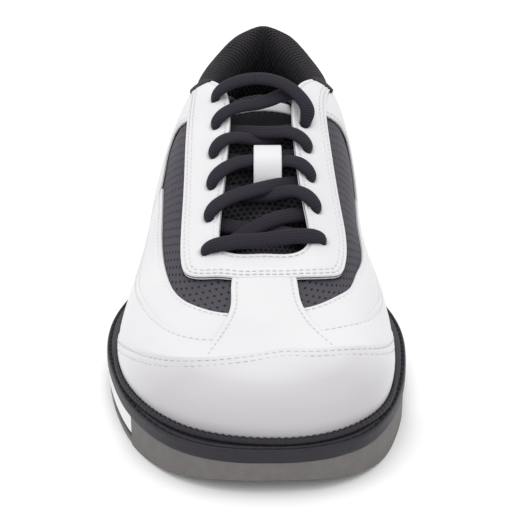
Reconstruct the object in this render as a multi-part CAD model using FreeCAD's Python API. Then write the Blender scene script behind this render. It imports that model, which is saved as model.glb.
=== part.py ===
"""Right-foot bowling shoe, laced, about a US men's size 10.

The toe points toward -Y, the lateral side is -X, the medial side is +X, and the sole rests on Z = 0.
The upper is a stack of thin panels that follow one curved surface, the shape of the last.
A place on that surface is (t, v): t runs around the shoe in units of one meridian, from the toe (0)
along the lateral side (+) or the medial side (-) to the heel (10 or -10), and v runs from the
feather line where the upper meets the welt (0) to the throat or the topline (1).
"""
import FreeCAD
import Part
import math
import os

V = FreeCAD.Vector

# ---------------------------------------------------------------- driving dimensions (mm)
SOLE_BOTTOM_BEVEL = 5.0      # how far the toe tip of the sole lifts off the floor
PAD_RUBBER = 2.4             # replaceable wear pad, rubber face
PAD_HOOK = 1.1               # hook layer glued to the pad
BODY_GAP = 0.35              # clearance between pieces that move apart
LOOP_LAYER = 0.9             # loop layer glued to the midsole
WELT_BOTTOM = 11.5           # underside of the welt at the forefoot
WELT_THICKNESS = 5.0
HEEL_RISE = 9.0              # how much higher the welt runs at the heel
RISE_START = -25.0           # y where the rise begins
RISE_END = 95.0              # y where it is complete
WELT_WIDTH = 9.0             # from the edge of the welt to its inner rim
BEAD_INNER = 1.75            # inner and outer edge of the ribbed bead, out from the last
BEAD_OUTER = 3.1
BEAD_HEIGHT = 2.6
STITCH_INSET = 0.95          # lockstitch, in from the edge of the welt
STITCH_WIDTH = 0.6
GROOVE_PLAY = 0.1            # how much wider the groove is than the thread, on each side
GROOVE_DEPTH = 0.7
STITCHED_END = 0.0           # y where the welt's stitching and bead end, on both sides
LEATHER = 1.1                # thickness of each upper panel
LAYER_GAP = 0.12             # glue line between two upper panels
LINING = 0.8
BOARD = 2.0                  # insole board
FOOTBED = 4.0
EYELET_DIAMETER = 5.0
LACE_DIAMETER = 3.2

# Heights of the layers above the last surface: (inner face, outer face)
TOP_LAYER = (0.0, LEATHER)
MID_LAYER = (-LAYER_GAP - LEATHER, -LAYER_GAP)
BASE_LAYER = (MID_LAYER[0] - LAYER_GAP - LEATHER, MID_LAYER[0] - LAYER_GAP)
WINDOW_LAYER = (BASE_LAYER[0], BASE_LAYER[1] - 0.3)     # the perforated leather is thinner
LINING_GAP = 0.3
LINING_LAYER = (BASE_LAYER[0] - LINING_GAP - LINING, BASE_LAYER[0] - LINING_GAP)

# ---------------------------------------------------------------- the last surface
# One row per meridian from the toe to the heel, six stations from the feather line to the top edge.
# Each station is (lateral x, lateral y, lateral z, medial x, medial y, medial z).
MERIDIANS = [
    [(3, -143.5, 16.5, 3, -143.5, 16.5), (3, -144, 28, 3, -144, 28), (3, -131, 36.5, 3, -131, 36.5),
     (3, -109, 40, 3, -109, 40), (3, -85.5, 45, 3, -85.5, 45), (3.3, -62, 52.3, 3.3, -62, 52.3)],
    [(-20, -137.5, 16.5, 25, -139.5, 16.5), (-20, -138, 28, 25, -140, 28), (-16, -126, 36, 21, -127.5, 36),
     (-12, -106, 40, 17, -107, 40), (-8, -84, 45, 14, -84, 45), (-5, -62.5, 52.3, 11.5, -62.5, 52.3)],
    [(-38, -120, 16.5, 43, -122, 16.5), (-38.5, -119.5, 28, 43.5, -121, 28),
     (-32, -111, 36.5, 37, -112, 36.5), (-24, -95, 41, 29, -95, 41.5), (-16.5, -77, 46.5, 22.5, -77, 47),
     (-11.5, -61.5, 53, 18, -61, 53.5)],
    [(-49.5, -94, 16.5, 50.5, -94, 16.5), (-50, -92, 27.5, 50.5, -92, 27.5),
     (-41.5, -87.5, 38, 43, -88, 38), (-32.5, -77, 44, 34.5, -76, 45), (-22.5, -65, 49.5, 27, -63, 51.5),
     (-14.5, -54, 56, 21, -53, 58)],
    [(-53.5, -62, 16.5, 53.5, -62, 16.5), (-52, -60, 29, 52, -60, 29), (-46, -56, 42, 46.5, -55, 43),
     (-36, -48, 52, 37, -46, 53.5), (-25, -40, 60, 27, -37, 62), (-13.5, -34, 67, 18.5, -31, 69.5)],
    [(-51, -25, 17, 49.5, -25, 17), (-49.5, -24, 32, 48.5, -24, 32), (-46, -22, 49, 45.5, -21, 50),
     (-37.5, -17, 64, 38.5, -15, 65), (-25, -10.5, 77, 28.5, -7, 78), (-11.5, -6, 84.5, 16, -2, 86.5)],
    [(-44.5, 18, 19.5, 41.5, 18, 19.5), (-46, 18, 38, 44, 18, 38), (-45.5, 19, 58, 46.5, 19, 58),
     (-40, 21, 76, 42.5, 22, 77), (-29.5, 24, 92, 33.5, 26, 93), (-14, 26, 101, 19, 29, 102)],
    [(-34.5, 72, 24.5, 39, 72, 24.5), (-38, 73, 43, 42.5, 73, 43), (-39.5, 72, 62, 44, 72, 62),
     (-36.5, 70, 80, 42.5, 70, 80), (-32, 67, 92, 38, 67, 92), (-27, 66, 100, 33.5, 66, 100)],
    [(-28, 112, 26, 36.5, 112, 26), (-31, 114, 45, 39, 114, 45), (-31.5, 114, 63, 39, 114, 63),
     (-28, 112, 82, 35.5, 112, 82), (-23.5, 109, 96, 30.5, 109, 96), (-20, 106, 105, 27, 106, 105)],
    [(-16, 137, 26.5, 24, 137, 26.5), (-17.5, 140, 46, 25.5, 140, 46), (-17, 140.5, 64, 25.5, 140.5, 64),
     (-14.5, 138, 84, 22.5, 138, 84), (-12, 134.5, 99, 20, 134.5, 99), (-9.5, 131, 109, 17.5, 131, 109)],
    [(4, 144.5, 26.5, 4, 144.5, 26.5), (4, 148, 46, 4, 148, 46), (4, 148.5, 64, 4, 148.5, 64),
     (4, 146, 84, 4, 146, 84), (4, 143, 101, 4, 143, 101), (4, 141, 112.5, 4, 141, 112.5)],
]
HEEL = len(MERIDIANS) - 1
RING = 2 * HEEL
STATIONS = 6
FOOT = 0.02                  # v of the lower edge of the leather, just above the welt


def bends(values, ring):
    """Second derivatives of the cubic spline through evenly spaced values, by relaxation."""
    n = len(values)
    second = [0.0] * n
    for _ in range(60):
        for i in range(n):
            if ring or 0 < i < n - 1:
                curve = values[(i + 1) % n] - 2 * values[i] + values[(i - 1) % n]
                second[i] = (6 * curve - second[(i + 1) % n] - second[(i - 1) % n]) / 4
    return second


def spline_at(low, high, low_bend, high_bend, b):
    """Value of one cubic spline span at b, from 0 to 1."""
    a = 1 - b
    return a * low + b * high + ((a ** 3 - a) * low_bend + (b ** 3 - b) * high_bend) / 6


def meridian(index):
    """Six stations of one meridian of the full ring: lateral from 0 to HEEL, then back along the medial."""
    if index <= HEEL:
        return [row[:3] for row in MERIDIANS[index]]
    return [row[3:] for row in MERIDIANS[RING - index]]


GRID = [meridian(index) for index in range(RING)]
GRID_BENDS = [[bends([GRID[i][k][axis] for i in range(RING)], True) for axis in range(3)]
              for k in range(STATIONS)]


UNITS = [[1.0 if k == j else 0.0 for k in range(STATIONS)] for j in range(STATIONS)]
STATION_BENDS = [bends(unit, False) for unit in UNITS]


def last_point(t, v):
    """Point of the last surface."""
    first = math.floor(t)
    here = first % RING
    after = (here + 1) % RING
    column = []
    for axis in range(3):
        column.append([spline_at(GRID[here][k][axis], GRID[after][k][axis], GRID_BENDS[k][axis][here],
                                 GRID_BENDS[k][axis][after], t - first) for k in range(STATIONS)])
    place = min(max(v, 0.0), 1.0) * (STATIONS - 1)
    span = min(int(place), STATIONS - 2)
    out = []
    for values in column:
        low_bend = sum(values[k] * STATION_BENDS[k][span] for k in range(STATIONS))
        high_bend = sum(values[k] * STATION_BENDS[k][span + 1] for k in range(STATIONS))
        out.append(spline_at(values[span], values[span + 1], low_bend, high_bend, place - span))
    return V(*out)


def skin_point(t, v, height):
    """Point at a height above the last surface, along its normal."""
    step = 0.02
    along = last_point(t + step, v) - last_point(t - step, v)
    up = last_point(t, min(v + step, 1)) - last_point(t, max(v - step, 0))
    normal = up.cross(along).normalize()
    return last_point(t, v) + normal * height


# ---------------------------------------------------------------- helpers
def curve_through(stations, count):
    """Count (t, v) places spread evenly along the smooth curve through the stations."""
    line = Part.BSplineCurve()
    line.interpolate(Points=[V(t, v * 10, 0) for t, v in stations])
    places = [line.value(line.FirstParameter + (line.LastParameter - line.FirstParameter) * i / (count - 1))
              for i in range(count)]
    return [(p.x, p.y / 10) for p in places]


def straight(start, end, count):
    """Count (t, v) places along a straight line."""
    return [(start[0] + (end[0] - start[0]) * i / (count - 1), start[1] + (end[1] - start[1]) * i / (count - 1))
            for i in range(count)]


def smooth_face(rows):
    """Smooth face through a grid of points."""
    surface = Part.BSplineSurface()
    surface.interpolate(rows)
    return surface


def shell_solid(outer_rows, inner_rows):
    """Closed solid between two grids of points of the same shape."""
    outer = smooth_face(outer_rows)
    inner = smooth_face(inner_rows)
    faces = [outer.toShape(), inner.toShape()]
    edges = []
    for surface in (outer, inner):
        u0, u1, v0, v1 = surface.bounds()
        edges.append([surface.uIso(u0), surface.uIso(u1), surface.vIso(v0), surface.vIso(v1)])
    for high, low in zip(edges[0], edges[1]):
        faces.append(Part.makeRuledSurface(high.toShape(), low.toShape()))
    shell = Part.makeShell(faces)
    shell.sewShape()
    solid = Part.Solid(Part.Shell(shell.Faces))
    if solid.Volume < 0:
        solid.reverse()
    return solid


def panel(low_edge, high_edge, layer, along=15, across=5):
    """Panel of the upper between two edge curves in (t, v), at the layer's heights."""
    low = curve_through(low_edge, along)
    high = curve_through(high_edge, along)
    outer = []
    inner = []
    for a, b in zip(low, high):
        places = straight(a, b, across)
        outer.append([skin_point(t, v, layer[1]) for t, v in places])
        inner.append([skin_point(t, v, layer[0]) for t, v in places])
    return shell_solid(outer, inner)


def mirrored(edge):
    """The same edge on the other side of the shoe."""
    return [(-t, v) for t, v in edge]


def save(name, shape):
    """Write one node and report its size."""
    if not shape.isValid():
        print("not valid:", name)
    shape.exportStep(os.path.join("parts", name + ".step"))
    box = shape.BoundBox
    print("%-28s %8.0f mm3  z %6.1f to %6.1f" % (name, shape.Volume, box.ZMin, box.ZMax))
    return shape


# ---------------------------------------------------------------- sole outlines and slabs
SOLE_OUTLINE = [(3, -150), (-13, -148.3), (-28, -141), (-39, -129), (-47.5, -114), (-54, -96), (-59, -76),
                (-61, -55), (-59.5, -33), (-53, -3), (-45, 32), (-38, 66), (-32.5, 100), (-26, 128),
                (-14, 145), (4, 151), (22, 145), (34.5, 128), (39.5, 100), (39.5, 66), (42.5, 32),
                (50.5, -3), (58, -33), (60.5, -57), (59, -79), (55, -102), (48.5, -122), (40, -136.5),
                (30, -144.5), (17, -149)]
OUTLINE_TURN = -1            # the outline's points run clockwise seen from above


def ring_wire(line):
    """Closed curve as a wire of equal stretches."""
    stretches = 12
    step = (line.LastParameter - line.FirstParameter) / stretches
    return Part.Wire([line.toShape(line.FirstParameter + step * i, line.FirstParameter + step * (i + 1))
                      for i in range(stretches)])


def outline_wire(inset=0.0):
    """The edge of the welt seen from above, moved inward."""
    line = Part.BSplineCurve()
    line.interpolate(Points=[V(x, y, 0) for x, y in SOLE_OUTLINE], PeriodicFlag=True)
    if inset:
        count = 44
        step = (line.LastParameter - line.FirstParameter) / count
        points = []
        for i in range(count):
            place = line.FirstParameter + step * i
            along = line.tangent(place)[0]
            inward = V(-along.y, along.x, 0) * OUTLINE_TURN
            points.append(line.value(place) + inward * inset)
        line = Part.BSplineCurve()
        line.interpolate(Points=points, PeriodicFlag=True)
    return ring_wire(line)


def foot_wire(outset):
    """The line where the upper stands on the welt, seen from above and moved outward."""
    points = []
    for i in range(2 * RING):
        here = last_point(i / 2, FOOT)
        along = last_point(i / 2 + 0.1, FOOT) - last_point(i / 2 - 0.1, FOOT)
        outward = V(-along.y, along.x, 0).normalize()
        points.append(V(here.x, here.y, 0) + outward * outset)
    line = Part.BSplineCurve()
    line.interpolate(Points=points, PeriodicFlag=True)
    return ring_wire(line)


def lowered(wire):
    """The wire, below the floor, where a tall block starts."""
    wire.translate(V(0, 0, -10))
    return wire


def prism(inset):
    """Tall block with the outline of the sole."""
    return Part.Face(lowered(outline_wire(inset))).extrude(V(0, 0, 80))


def tall_ring(outer, inner):
    """Tall block between two closed wires."""
    hole = lowered(inner)
    hole.reverse()
    return Part.Face([lowered(outer), hole]).extrude(V(0, 0, 80))


def band(inset, width):
    """Tall ring that follows the outline of the sole."""
    return tall_ring(outline_wire(inset), outline_wire(inset + width))


def rise(y):
    """Height that the heel lift adds at y."""
    part = min(max((y - RISE_START) / (RISE_END - RISE_START), 0.0), 1.0)
    return HEEL_RISE * part * part * (3 - 2 * part)


def slab(bottom, top, y0=-170.0, y1=170.0):
    """Wide slab between two heights that are functions of y."""
    count = 57
    ys = [y0 + (y1 - y0) * i / (count - 1) for i in range(count)]
    low = Part.BSplineCurve()
    low.interpolate(Points=[V(-100, y, bottom(y)) for y in ys])
    high = Part.BSplineCurve()
    high.interpolate(Points=[V(-100, y, top(y)) for y in ys])
    closers = [Part.LineSegment(low.EndPoint, high.EndPoint).toShape(),
               Part.LineSegment(high.StartPoint, low.StartPoint).toShape()]
    edges = Part.__sortEdges__([low.toShape(), high.toShape()] + closers)
    return Part.Face(Part.Wire(edges)).extrude(V(200, 0, 0))


def level(height):
    """Flat height."""
    return lambda y: height


def lifted(height):
    """Height that follows the heel lift."""
    return lambda y: height + rise(y)


def half_space(points):
    """Tall block over a polygon, to cut the sole into zones."""
    ring = [V(x, y, -15) for x, y in points]
    return Part.Face(Part.makePolygon(ring + ring[:1])).extrude(V(0, 0, 90))


# ---------------------------------------------------------------- sole
PAD_TOP = PAD_RUBBER + PAD_HOOK
LOOP_BOTTOM = PAD_TOP + BODY_GAP
MIDSOLE_BOTTOM = LOOP_BOTTOM + LOOP_LAYER + 0.1
EDGE_INSET = 0.4             # the soles stand in from the edge of the welt
PAD_MARGIN = 0.3             # the wear pads stand in from the midsole
TOE_CUT = [(-75, -125), (75, -93)]          # line between the toe piece and the midsole
PAD_END = 34.0                              # rear end of the forefoot pad
HEEL_START = 66.0                           # front end of the heel pad
BEVEL_START = -122.0                        # y where the sole begins to lift toward the toe tip
ARCH_HEIGHT = 2.5                           # hollow under the waist, between the two pads


def toe_zone(shift=0.0):
    """Block in front of the slanted line that ends the toe piece."""
    (x0, y0), (x1, y1) = TOE_CUT
    return half_space([(x0, y0 + shift), (x1, y1 + shift), (x1, -200), (x0, -200)])


def bevelled(y):
    """Underside of the sole: flat, and lifting toward the toe tip."""
    part = min(max((BEVEL_START - y) / 28.0, 0.0), 1.2)
    return SOLE_BOTTOM_BEVEL * part * part


def toe_piece():
    """Solid rubber bumper under the toe."""
    block = prism(EDGE_INSET).common(slab(bevelled, level(WELT_BOTTOM)))
    return block.common(toe_zone(-0.1))


def midsole():
    """White midsole behind the toe piece, arched at the waist, thicker at the heel."""
    def underside(y):
        middle = (PAD_END + HEEL_START) / 2
        arch = max(0.0, 1.0 - ((y - middle) / (HEEL_START - middle)) ** 2)
        return MIDSOLE_BOTTOM + ARCH_HEIGHT * arch ** 2
    block = prism(EDGE_INSET).common(slab(underside, lifted(WELT_BOTTOM)))
    return block.cut(toe_zone())


def sole_layer(bottom, top, inset, front, back, toe_line):
    """Flat layer of the forefoot or heel between two y limits, or behind the toe piece."""
    outline = outline_wire(inset)
    outline.translate(V(0, 0, bottom))
    block = Part.Face(outline).extrude(V(0, 0, top - bottom))
    zone = half_space([(-80, front), (80, front), (80, back), (-80, back)])
    block = block.common(zone)
    return block.cut(toe_zone(toe_line)) if toe_line is not None else block


def stitched_zone():
    """Block over the part of the welt that carries the stitching and the bead."""
    return half_space([(-80, -200), (80, -200), (80, STITCHED_END), (-80, STITCHED_END)])


WELT_TOP = WELT_BOTTOM + WELT_THICKNESS


def welt():
    """Flat strip all around, with a groove for the lockstitch."""
    ring = band(0, WELT_WIDTH).common(slab(lifted(WELT_BOTTOM), lifted(WELT_TOP)))
    groove = band(STITCH_INSET - GROOVE_PLAY, STITCH_WIDTH + 2 * GROOVE_PLAY)
    groove = groove.common(slab(lifted(WELT_TOP - GROOVE_DEPTH), level(60)))
    return ring.cut(groove.common(stitched_zone()))


def welt_stitching():
    """Run of heavy thread lying in the groove of the welt."""
    ring = band(STITCH_INSET, STITCH_WIDTH).common(stitched_zone())
    return ring.common(slab(lifted(WELT_TOP - GROOVE_DEPTH + 0.1), lifted(WELT_TOP + 0.2)))


def welt_bead():
    """Raised storm bead between the welt's stitching and the upper."""
    ring = tall_ring(foot_wire(BEAD_OUTER), foot_wire(BEAD_INNER)).common(stitched_zone())
    return ring.common(slab(lifted(WELT_TOP + 0.05), lifted(WELT_TOP + BEAD_HEIGHT)))


SHANK = (8.0, 100.0, 1.4)    # half width, length, thickness of the steel shank
SHANK_CENTRE_Y = 50.0


def shank(play=0.0):
    """Steel strip under the waist, following the heel lift."""
    half, length, thickness = SHANK
    block = half_space([(3 - half - play, SHANK_CENTRE_Y - length / 2 - play),
                        (3 + half + play, SHANK_CENTRE_Y - length / 2 - play),
                        (3 + half + play, SHANK_CENTRE_Y + length / 2 + play),
                        (3 - half - play, SHANK_CENTRE_Y + length / 2 + play)])
    middle = (WELT_BOTTOM + WELT_TOP) / 2
    return block.common(slab(lifted(middle - thickness / 2 - play), lifted(middle + thickness / 2 + play)))


def filler():
    """Cork filling inside the welt, around the shank."""
    core = prism(WELT_WIDTH + 0.15)
    core = core.common(slab(lifted(WELT_BOTTOM + 0.1), lifted(WELT_TOP - 0.1)))
    return core.cut(shank(0.1))


BOARD_INSET = 13.5
BOARD_BOTTOM = WELT_TOP + 0.15


def insole_board():
    """Stiff board that the upper is lasted to."""
    block = prism(BOARD_INSET)
    return block.common(slab(lifted(BOARD_BOTTOM), lifted(BOARD_BOTTOM + BOARD)))


def footbed():
    """Removable footbed: foam with a fabric top cover."""
    bottom = BOARD_BOTTOM + BOARD + BODY_GAP
    return prism(BOARD_INSET + 0.6).common(slab(lifted(bottom), lifted(bottom + FOOTBED)))


def footbed_cover():
    """Fabric top cover of the footbed."""
    bottom = BOARD_BOTTOM + BOARD + BODY_GAP + FOOTBED + 0.05
    return prism(BOARD_INSET + 0.7).common(slab(lifted(bottom), lifted(bottom + LINING)))


# ---------------------------------------------------------------- upper
CAP_EDGE = [(4.15, 0.045), (3.6, 0.13), (2.8, 0.25), (1.8, 0.35), (1.0, 0.43), (0.0, 0.485), (-0.6, 0.5),
            (-1.5, 0.45), (-2.4, 0.33), (-3.3, 0.19), (-4.15, 0.045)]
CAP_FOOT = [(t, FOOT) for t, _ in CAP_EDGE]
STAY_OUTER = [(6.62, 0.84), (5.7, 0.755), (4.9, 0.71), (4.0, 0.7), (3.3, 0.69), (2.9, 0.72), (2.4, 0.79),
              (1.4, 0.86), (0.0, 0.875), (-1.4, 0.86), (-2.4, 0.77), (-2.9, 0.68), (-3.3, 0.62), (-4.0, 0.61),
              (-4.9, 0.69), (-5.7, 0.8), (-6.6, 0.85)]
THROAT_EDGE = 0.995
THROAT_STATIONS = (6.42, 5.7, 4.9, 4.0, 3.3, 2.7, 2.0, 1.2, 0.0, -1.2, -2.0, -2.7, -3.3, -4.0, -4.9, -5.7, -6.42)
THROAT = [(t, THROAT_EDGE) for t in THROAT_STATIONS]
LATERAL_EYELETS = [(3.1, 0.86), (3.78, 0.9), (4.37, 0.9), (4.9, 0.895), (5.35, 0.91), (5.84, 0.93)]
MEDIAL_EYELETS = [(-3.32, 0.82), (-3.9, 0.85), (-4.43, 0.875), (-4.9, 0.895), (-5.28, 0.92), (-5.72, 0.94)]
COLLAR_SEAM = 0.83           # v where the leather quarters end and the mesh collar begins
TOPLINE = 0.99
SEAM = 0.012                 # v left open between two abutting panels

# Lateral-side panels are drawn for +t and, where the two sides match, mirrored to -t.
LOWER_SEAM = {1: [(1.2, 0.54), (1.9, 0.49), (2.5, 0.46), (3.3, 0.41), (4.0, 0.365), (5.22, 0.33)],
              -1: [(-1.65, 0.56), (-2.1, 0.52), (-2.8, 0.43), (-3.5, 0.34), (-4.1, 0.31), (-5.3, 0.3)]}
LOWER_FOOT = {1: [(1.3, 0.4), (1.9, 0.32), (2.8, 0.2), (3.6, 0.085), (4.25, FOOT), (5.25, FOOT)],
              -1: [(-1.8, 0.44), (-2.3, 0.36), (-2.9, 0.25), (-3.6, 0.11), (-4.25, FOOT), (-5.3, FOOT)]}
WINDOW_EDGE = {1: [(1.15, 0.69), (2.1, 0.65), (3.1, 0.6), (3.8, 0.56), (4.6, 0.53), (5.18, 0.52)],
               -1: [(-1.5, 0.7), (-2.4, 0.65), (-3.1, 0.56), (-3.6, 0.51), (-4.2, 0.45), (-5.3, 0.39)]}
MESH_FOOT = [(1.15, 0.62), (2.1, 0.57), (3.1, 0.5), (3.8, 0.45), (4.6, 0.42), (5.4, 0.38), (6.1, 0.42)]
MESH_TOP = {1: [(1.5, 0.86), (2.4, 0.82), (3.1, 0.76), (3.8, 0.73), (4.6, 0.735), (5.4, 0.76), (6.1, 0.8)],
            -1: [(-1.5, 0.87), (-2.4, 0.82), (-3.1, 0.72), (-3.8, 0.65), (-4.6, 0.69), (-5.4, 0.78),
                 (-6.1, 0.82)]}
SADDLE_FRONT = {1: [(5.34, FOOT), (5.34, 0.25), (5.42, 0.44), (5.95, 0.55), (6.12, 0.64), (5.9, 0.75),
                    (5.75, 0.8)],
                -1: [(-5.36, FOOT), (-5.38, 0.2), (-5.6, 0.38), (-6.05, 0.46), (-6.15, 0.6), (-5.85, 0.76),
                     (-5.75, 0.82)]}
SADDLE_REAR = [(9.25, v) for v in (FOOT, 0.15, 0.3, 0.45, 0.6, 0.72, 0.815)]


def eyelet_holes():
    """One punch per eyelet, square to the surface."""
    reach = 6.0
    punches = []
    for t, v in LATERAL_EYELETS + MEDIAL_EYELETS:
        top = skin_point(t, v, reach)
        foot = skin_point(t, v, -reach)
        punches.append(Part.makeCylinder(EYELET_DIAMETER / 2, 2 * reach, foot, top - foot))
    return Part.makeCompound(punches)


def raised(edge, amount):
    """The same edge with every v moved."""
    return [(t, v + amount) for t, v in edge]


def on_side(edge, side):
    """An edge drawn for +t, on the lateral side (1) or the medial side (-1)."""
    return edge if side > 0 else mirrored(edge)


def eyestay_panels():
    """The U-shaped eyestay and the tape behind its eyelets."""
    holes = eyelet_holes()
    tape_outer = [(t, v + 0.35 * (THROAT_EDGE - v)) for t, v in STAY_OUTER]
    return {"eyestay": panel(STAY_OUTER, THROAT, TOP_LAYER, 41, 5).cut(holes),
            "eyestay_tape": panel(tape_outer, THROAT, MID_LAYER, 41, 4).cut(holes)}


def side_panels(side):
    """Leather overlays, perforated quarter and rear quarter of one side."""
    name = "lateral" if side > 0 else "medial"
    seam = LOWER_SEAM[side]
    window = WINDOW_EDGE[side]
    return {
        "lower_overlay_" + name: panel(LOWER_FOOT[side], raised(seam, -SEAM), MID_LAYER, 15, 6),
        "mid_overlay_" + name: panel(seam, window, MID_LAYER, 15, 4),
        "perforated_quarter_" + name: panel(on_side(MESH_FOOT, side), MESH_TOP[side], WINDOW_LAYER, 21, 9),
        "rear_quarter_" + name: panel(SADDLE_FRONT[side], on_side(SADDLE_REAR, side), MID_LAYER, 15, 15),
    }


def vamp():
    """Hourglass panel between the toe cap and the eyestay."""
    lateral = [(1.22, 0.4), (1.14, 0.5), (1.05, 0.6), (1.0, 0.72), (1.35, 0.85), (1.45, 0.9)]
    medial = [(-1.62, 0.4), (-1.5, 0.5), (-1.32, 0.62), (-1.2, 0.74), (-1.35, 0.85), (-1.45, 0.9)]
    return panel(lateral, medial, MID_LAYER, 9, 9)


def heel_cover():
    """Leather wrapped around the heel, low at its front ends."""
    foot = [(t, FOOT) for t in (8.0, 8.6, 9.3, 10.0, 10.7, 11.4, 12.0)]
    top = [(8.0, 0.12), (8.6, 0.33), (9.3, 0.43), (10.0, 0.46), (10.7, 0.43), (11.4, 0.33), (12.0, 0.12)]
    return panel(foot, top, TOP_LAYER, 17, 6)


def upright(low, high, t0, t1, layer, across=7):
    """Panel between two values of v over a stretch of the ring."""
    stations = (0.0, 0.25, 0.5, 0.75, 1.0)
    foot = [(t0 + (t1 - t0) * part, low) for part in stations]
    top = [(t0 + (t1 - t0) * part, high) for part in stations]
    along = max(7, int(abs(t1 - t0) * 3) + 1)
    return panel(foot, top, layer, along, across)


COLLAR_START = 6.8
COLLAR_END = RING - COLLAR_START
COLLAR_DEPTHS = (3.0, 6.0, 8.3, 8.5, 6.2)    # padding thickness from its lower edge to the topline


def collar_rows(low, high, count, heights):
    """Rows of points around the collar, with one height for each station across it."""
    rows = []
    for i in range(count):
        t = COLLAR_START + (COLLAR_END - COLLAR_START) * i / (count - 1)
        line = straight((t, low), (t, high), len(heights))
        rows.append([skin_point(place[0], place[1], height) for place, height in zip(line, heights)])
    return rows


def collar():
    """Foam padding, its inner lining and the mesh cover outside it."""
    low = 0.44
    count = 27
    outer = -BASE_LAYER[1] + LAYER_GAP
    padding = shell_solid(collar_rows(low, TOPLINE, count, [-outer] * len(COLLAR_DEPTHS)),
                          collar_rows(low, TOPLINE, count, [-depth for depth in COLLAR_DEPTHS]))
    lining = shell_solid(collar_rows(low, TOPLINE, count, [-depth - LAYER_GAP for depth in COLLAR_DEPTHS]),
                         collar_rows(low, TOPLINE, count, [-depth - LAYER_GAP - LINING for depth in COLLAR_DEPTHS]))
    return {"collar_padding": padding, "collar_lining": lining,
            "collar_cover": upright(COLLAR_SEAM + SEAM, TOPLINE, COLLAR_START, COLLAR_END, MID_LAYER, 4)}


def collar_piping(side):
    """Narrow binding where the eyestay meets the collar."""
    front = on_side([(6.66, 0.83), (6.6, 0.88), (6.53, 0.94), (6.47, 0.985)], side)
    rear = on_side([(6.76, 0.83), (6.7, 0.88), (6.63, 0.94), (6.57, 0.985)], side)
    return panel(front, rear, TOP_LAYER, 7, 3)


def linings():
    """Textile lining of the vamp and of the two quarters."""
    vamp_foot = [(t, 0.03) for t in (5.3, 4.0, 2.8, 1.5, 0.0, -1.5, -2.8, -4.0, -5.3)]
    vamp_top = [(5.3, 0.76), (4.0, 0.72), (2.8, 0.76), (1.5, 0.86), (0.0, 0.9), (-1.5, 0.86), (-2.8, 0.7),
                (-4.0, 0.66), (-5.3, 0.76)]
    quarter_foot = [(t, 0.03) for t in (5.34, 5.9, 6.4, 7.0, 8.0, 9.96)]
    quarter_top = [(5.34, 0.76), (5.9, 0.75), (6.4, 0.6), (7.0, 0.42), (8.0, 0.41), (9.96, 0.41)]
    return {"vamp_lining": panel(vamp_foot, vamp_top, LINING_LAYER, 41, 11),
            "quarter_lining_lateral": panel(quarter_foot, quarter_top, LINING_LAYER, 25, 9),
            "quarter_lining_medial": panel(mirrored(quarter_foot), mirrored(quarter_top), LINING_LAYER, 25, 9)}


def stiffeners():
    """Toe puff and heel counter, moulded between the leather and the lining."""
    puff_foot = [(t, 0.03) for t in (3.2, 2.4, 1.2, 0.0, -1.2, -2.4, -3.2)]
    puff_top = [(3.2, 0.16), (2.4, 0.27), (1.2, 0.36), (0.0, 0.41), (-1.2, 0.38), (-2.4, 0.27), (-3.2, 0.16)]
    counter_foot = [(t, 0.03) for t in (7.4, 8.2, 9.1, 10.0, 10.9, 11.8, 12.6)]
    counter_top = [(7.4, 0.2), (8.2, 0.34), (9.1, 0.39), (10.0, 0.4), (10.9, 0.39), (11.8, 0.34), (12.6, 0.2)]
    return {"toe_puff": panel(puff_foot, puff_top, BASE_LAYER, 19, 6),
            "heel_counter": panel(counter_foot, counter_top, BASE_LAYER, 19, 6)}


# ---------------------------------------------------------------- tongue
# Stations along the tongue: y and z of the outer face at the centre line, lateral x, medial x, edge drop.
TONGUE = [(-66, 45.0, -13, 19, 1.0), (-45, 54.0, -20, 26, 3.5), (-20, 68.0, -24, 30, 6.0),
          (5, 82.5, -25, 31, 7.0), (22, 91.5, -25, 31, 8.0), (32, 96.5, -21, 27, 8.5)]
TONGUE_IN = V(0, 0.5, -0.866)        # direction from the outer face of the tongue to the foot


def tongue_sheet(depth_out, depth_in):
    """Layer of the tongue between two depths below its outer face."""
    grids = []
    for depth in (depth_out, depth_in):
        grid = []
        for y, z, x0, x1, drop in TONGUE:
            half = (x1 - x0) / 2
            middle = (x0 + x1) / 2
            line = []
            for part in (-1.0, -0.67, -0.33, 0.0, 0.33, 0.67, 1.0):
                line.append(V(middle + part * half, y, z - drop * part ** 2) + TONGUE_IN * depth)
            grid.append(line)
        grids.append(grid)
    return shell_solid(grids[0], grids[1])


def tongue_height(y):
    """Height of the tongue's outer face on the centre line."""
    for low, high in zip(TONGUE, TONGUE[1:]):
        if y <= high[0]:
            return low[1] + (high[1] - low[1]) * (y - low[0]) / (high[0] - low[0])
    return TONGUE[-1][1]


KEEPER_X = (-1.0, 11.0)
KEEPER_Y = (-22.2, -4.6)
KEEPER_RISE = 10.6           # clear height of the loop above the tongue, measured along Z
KEEPER_STRAP = 1.0


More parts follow.
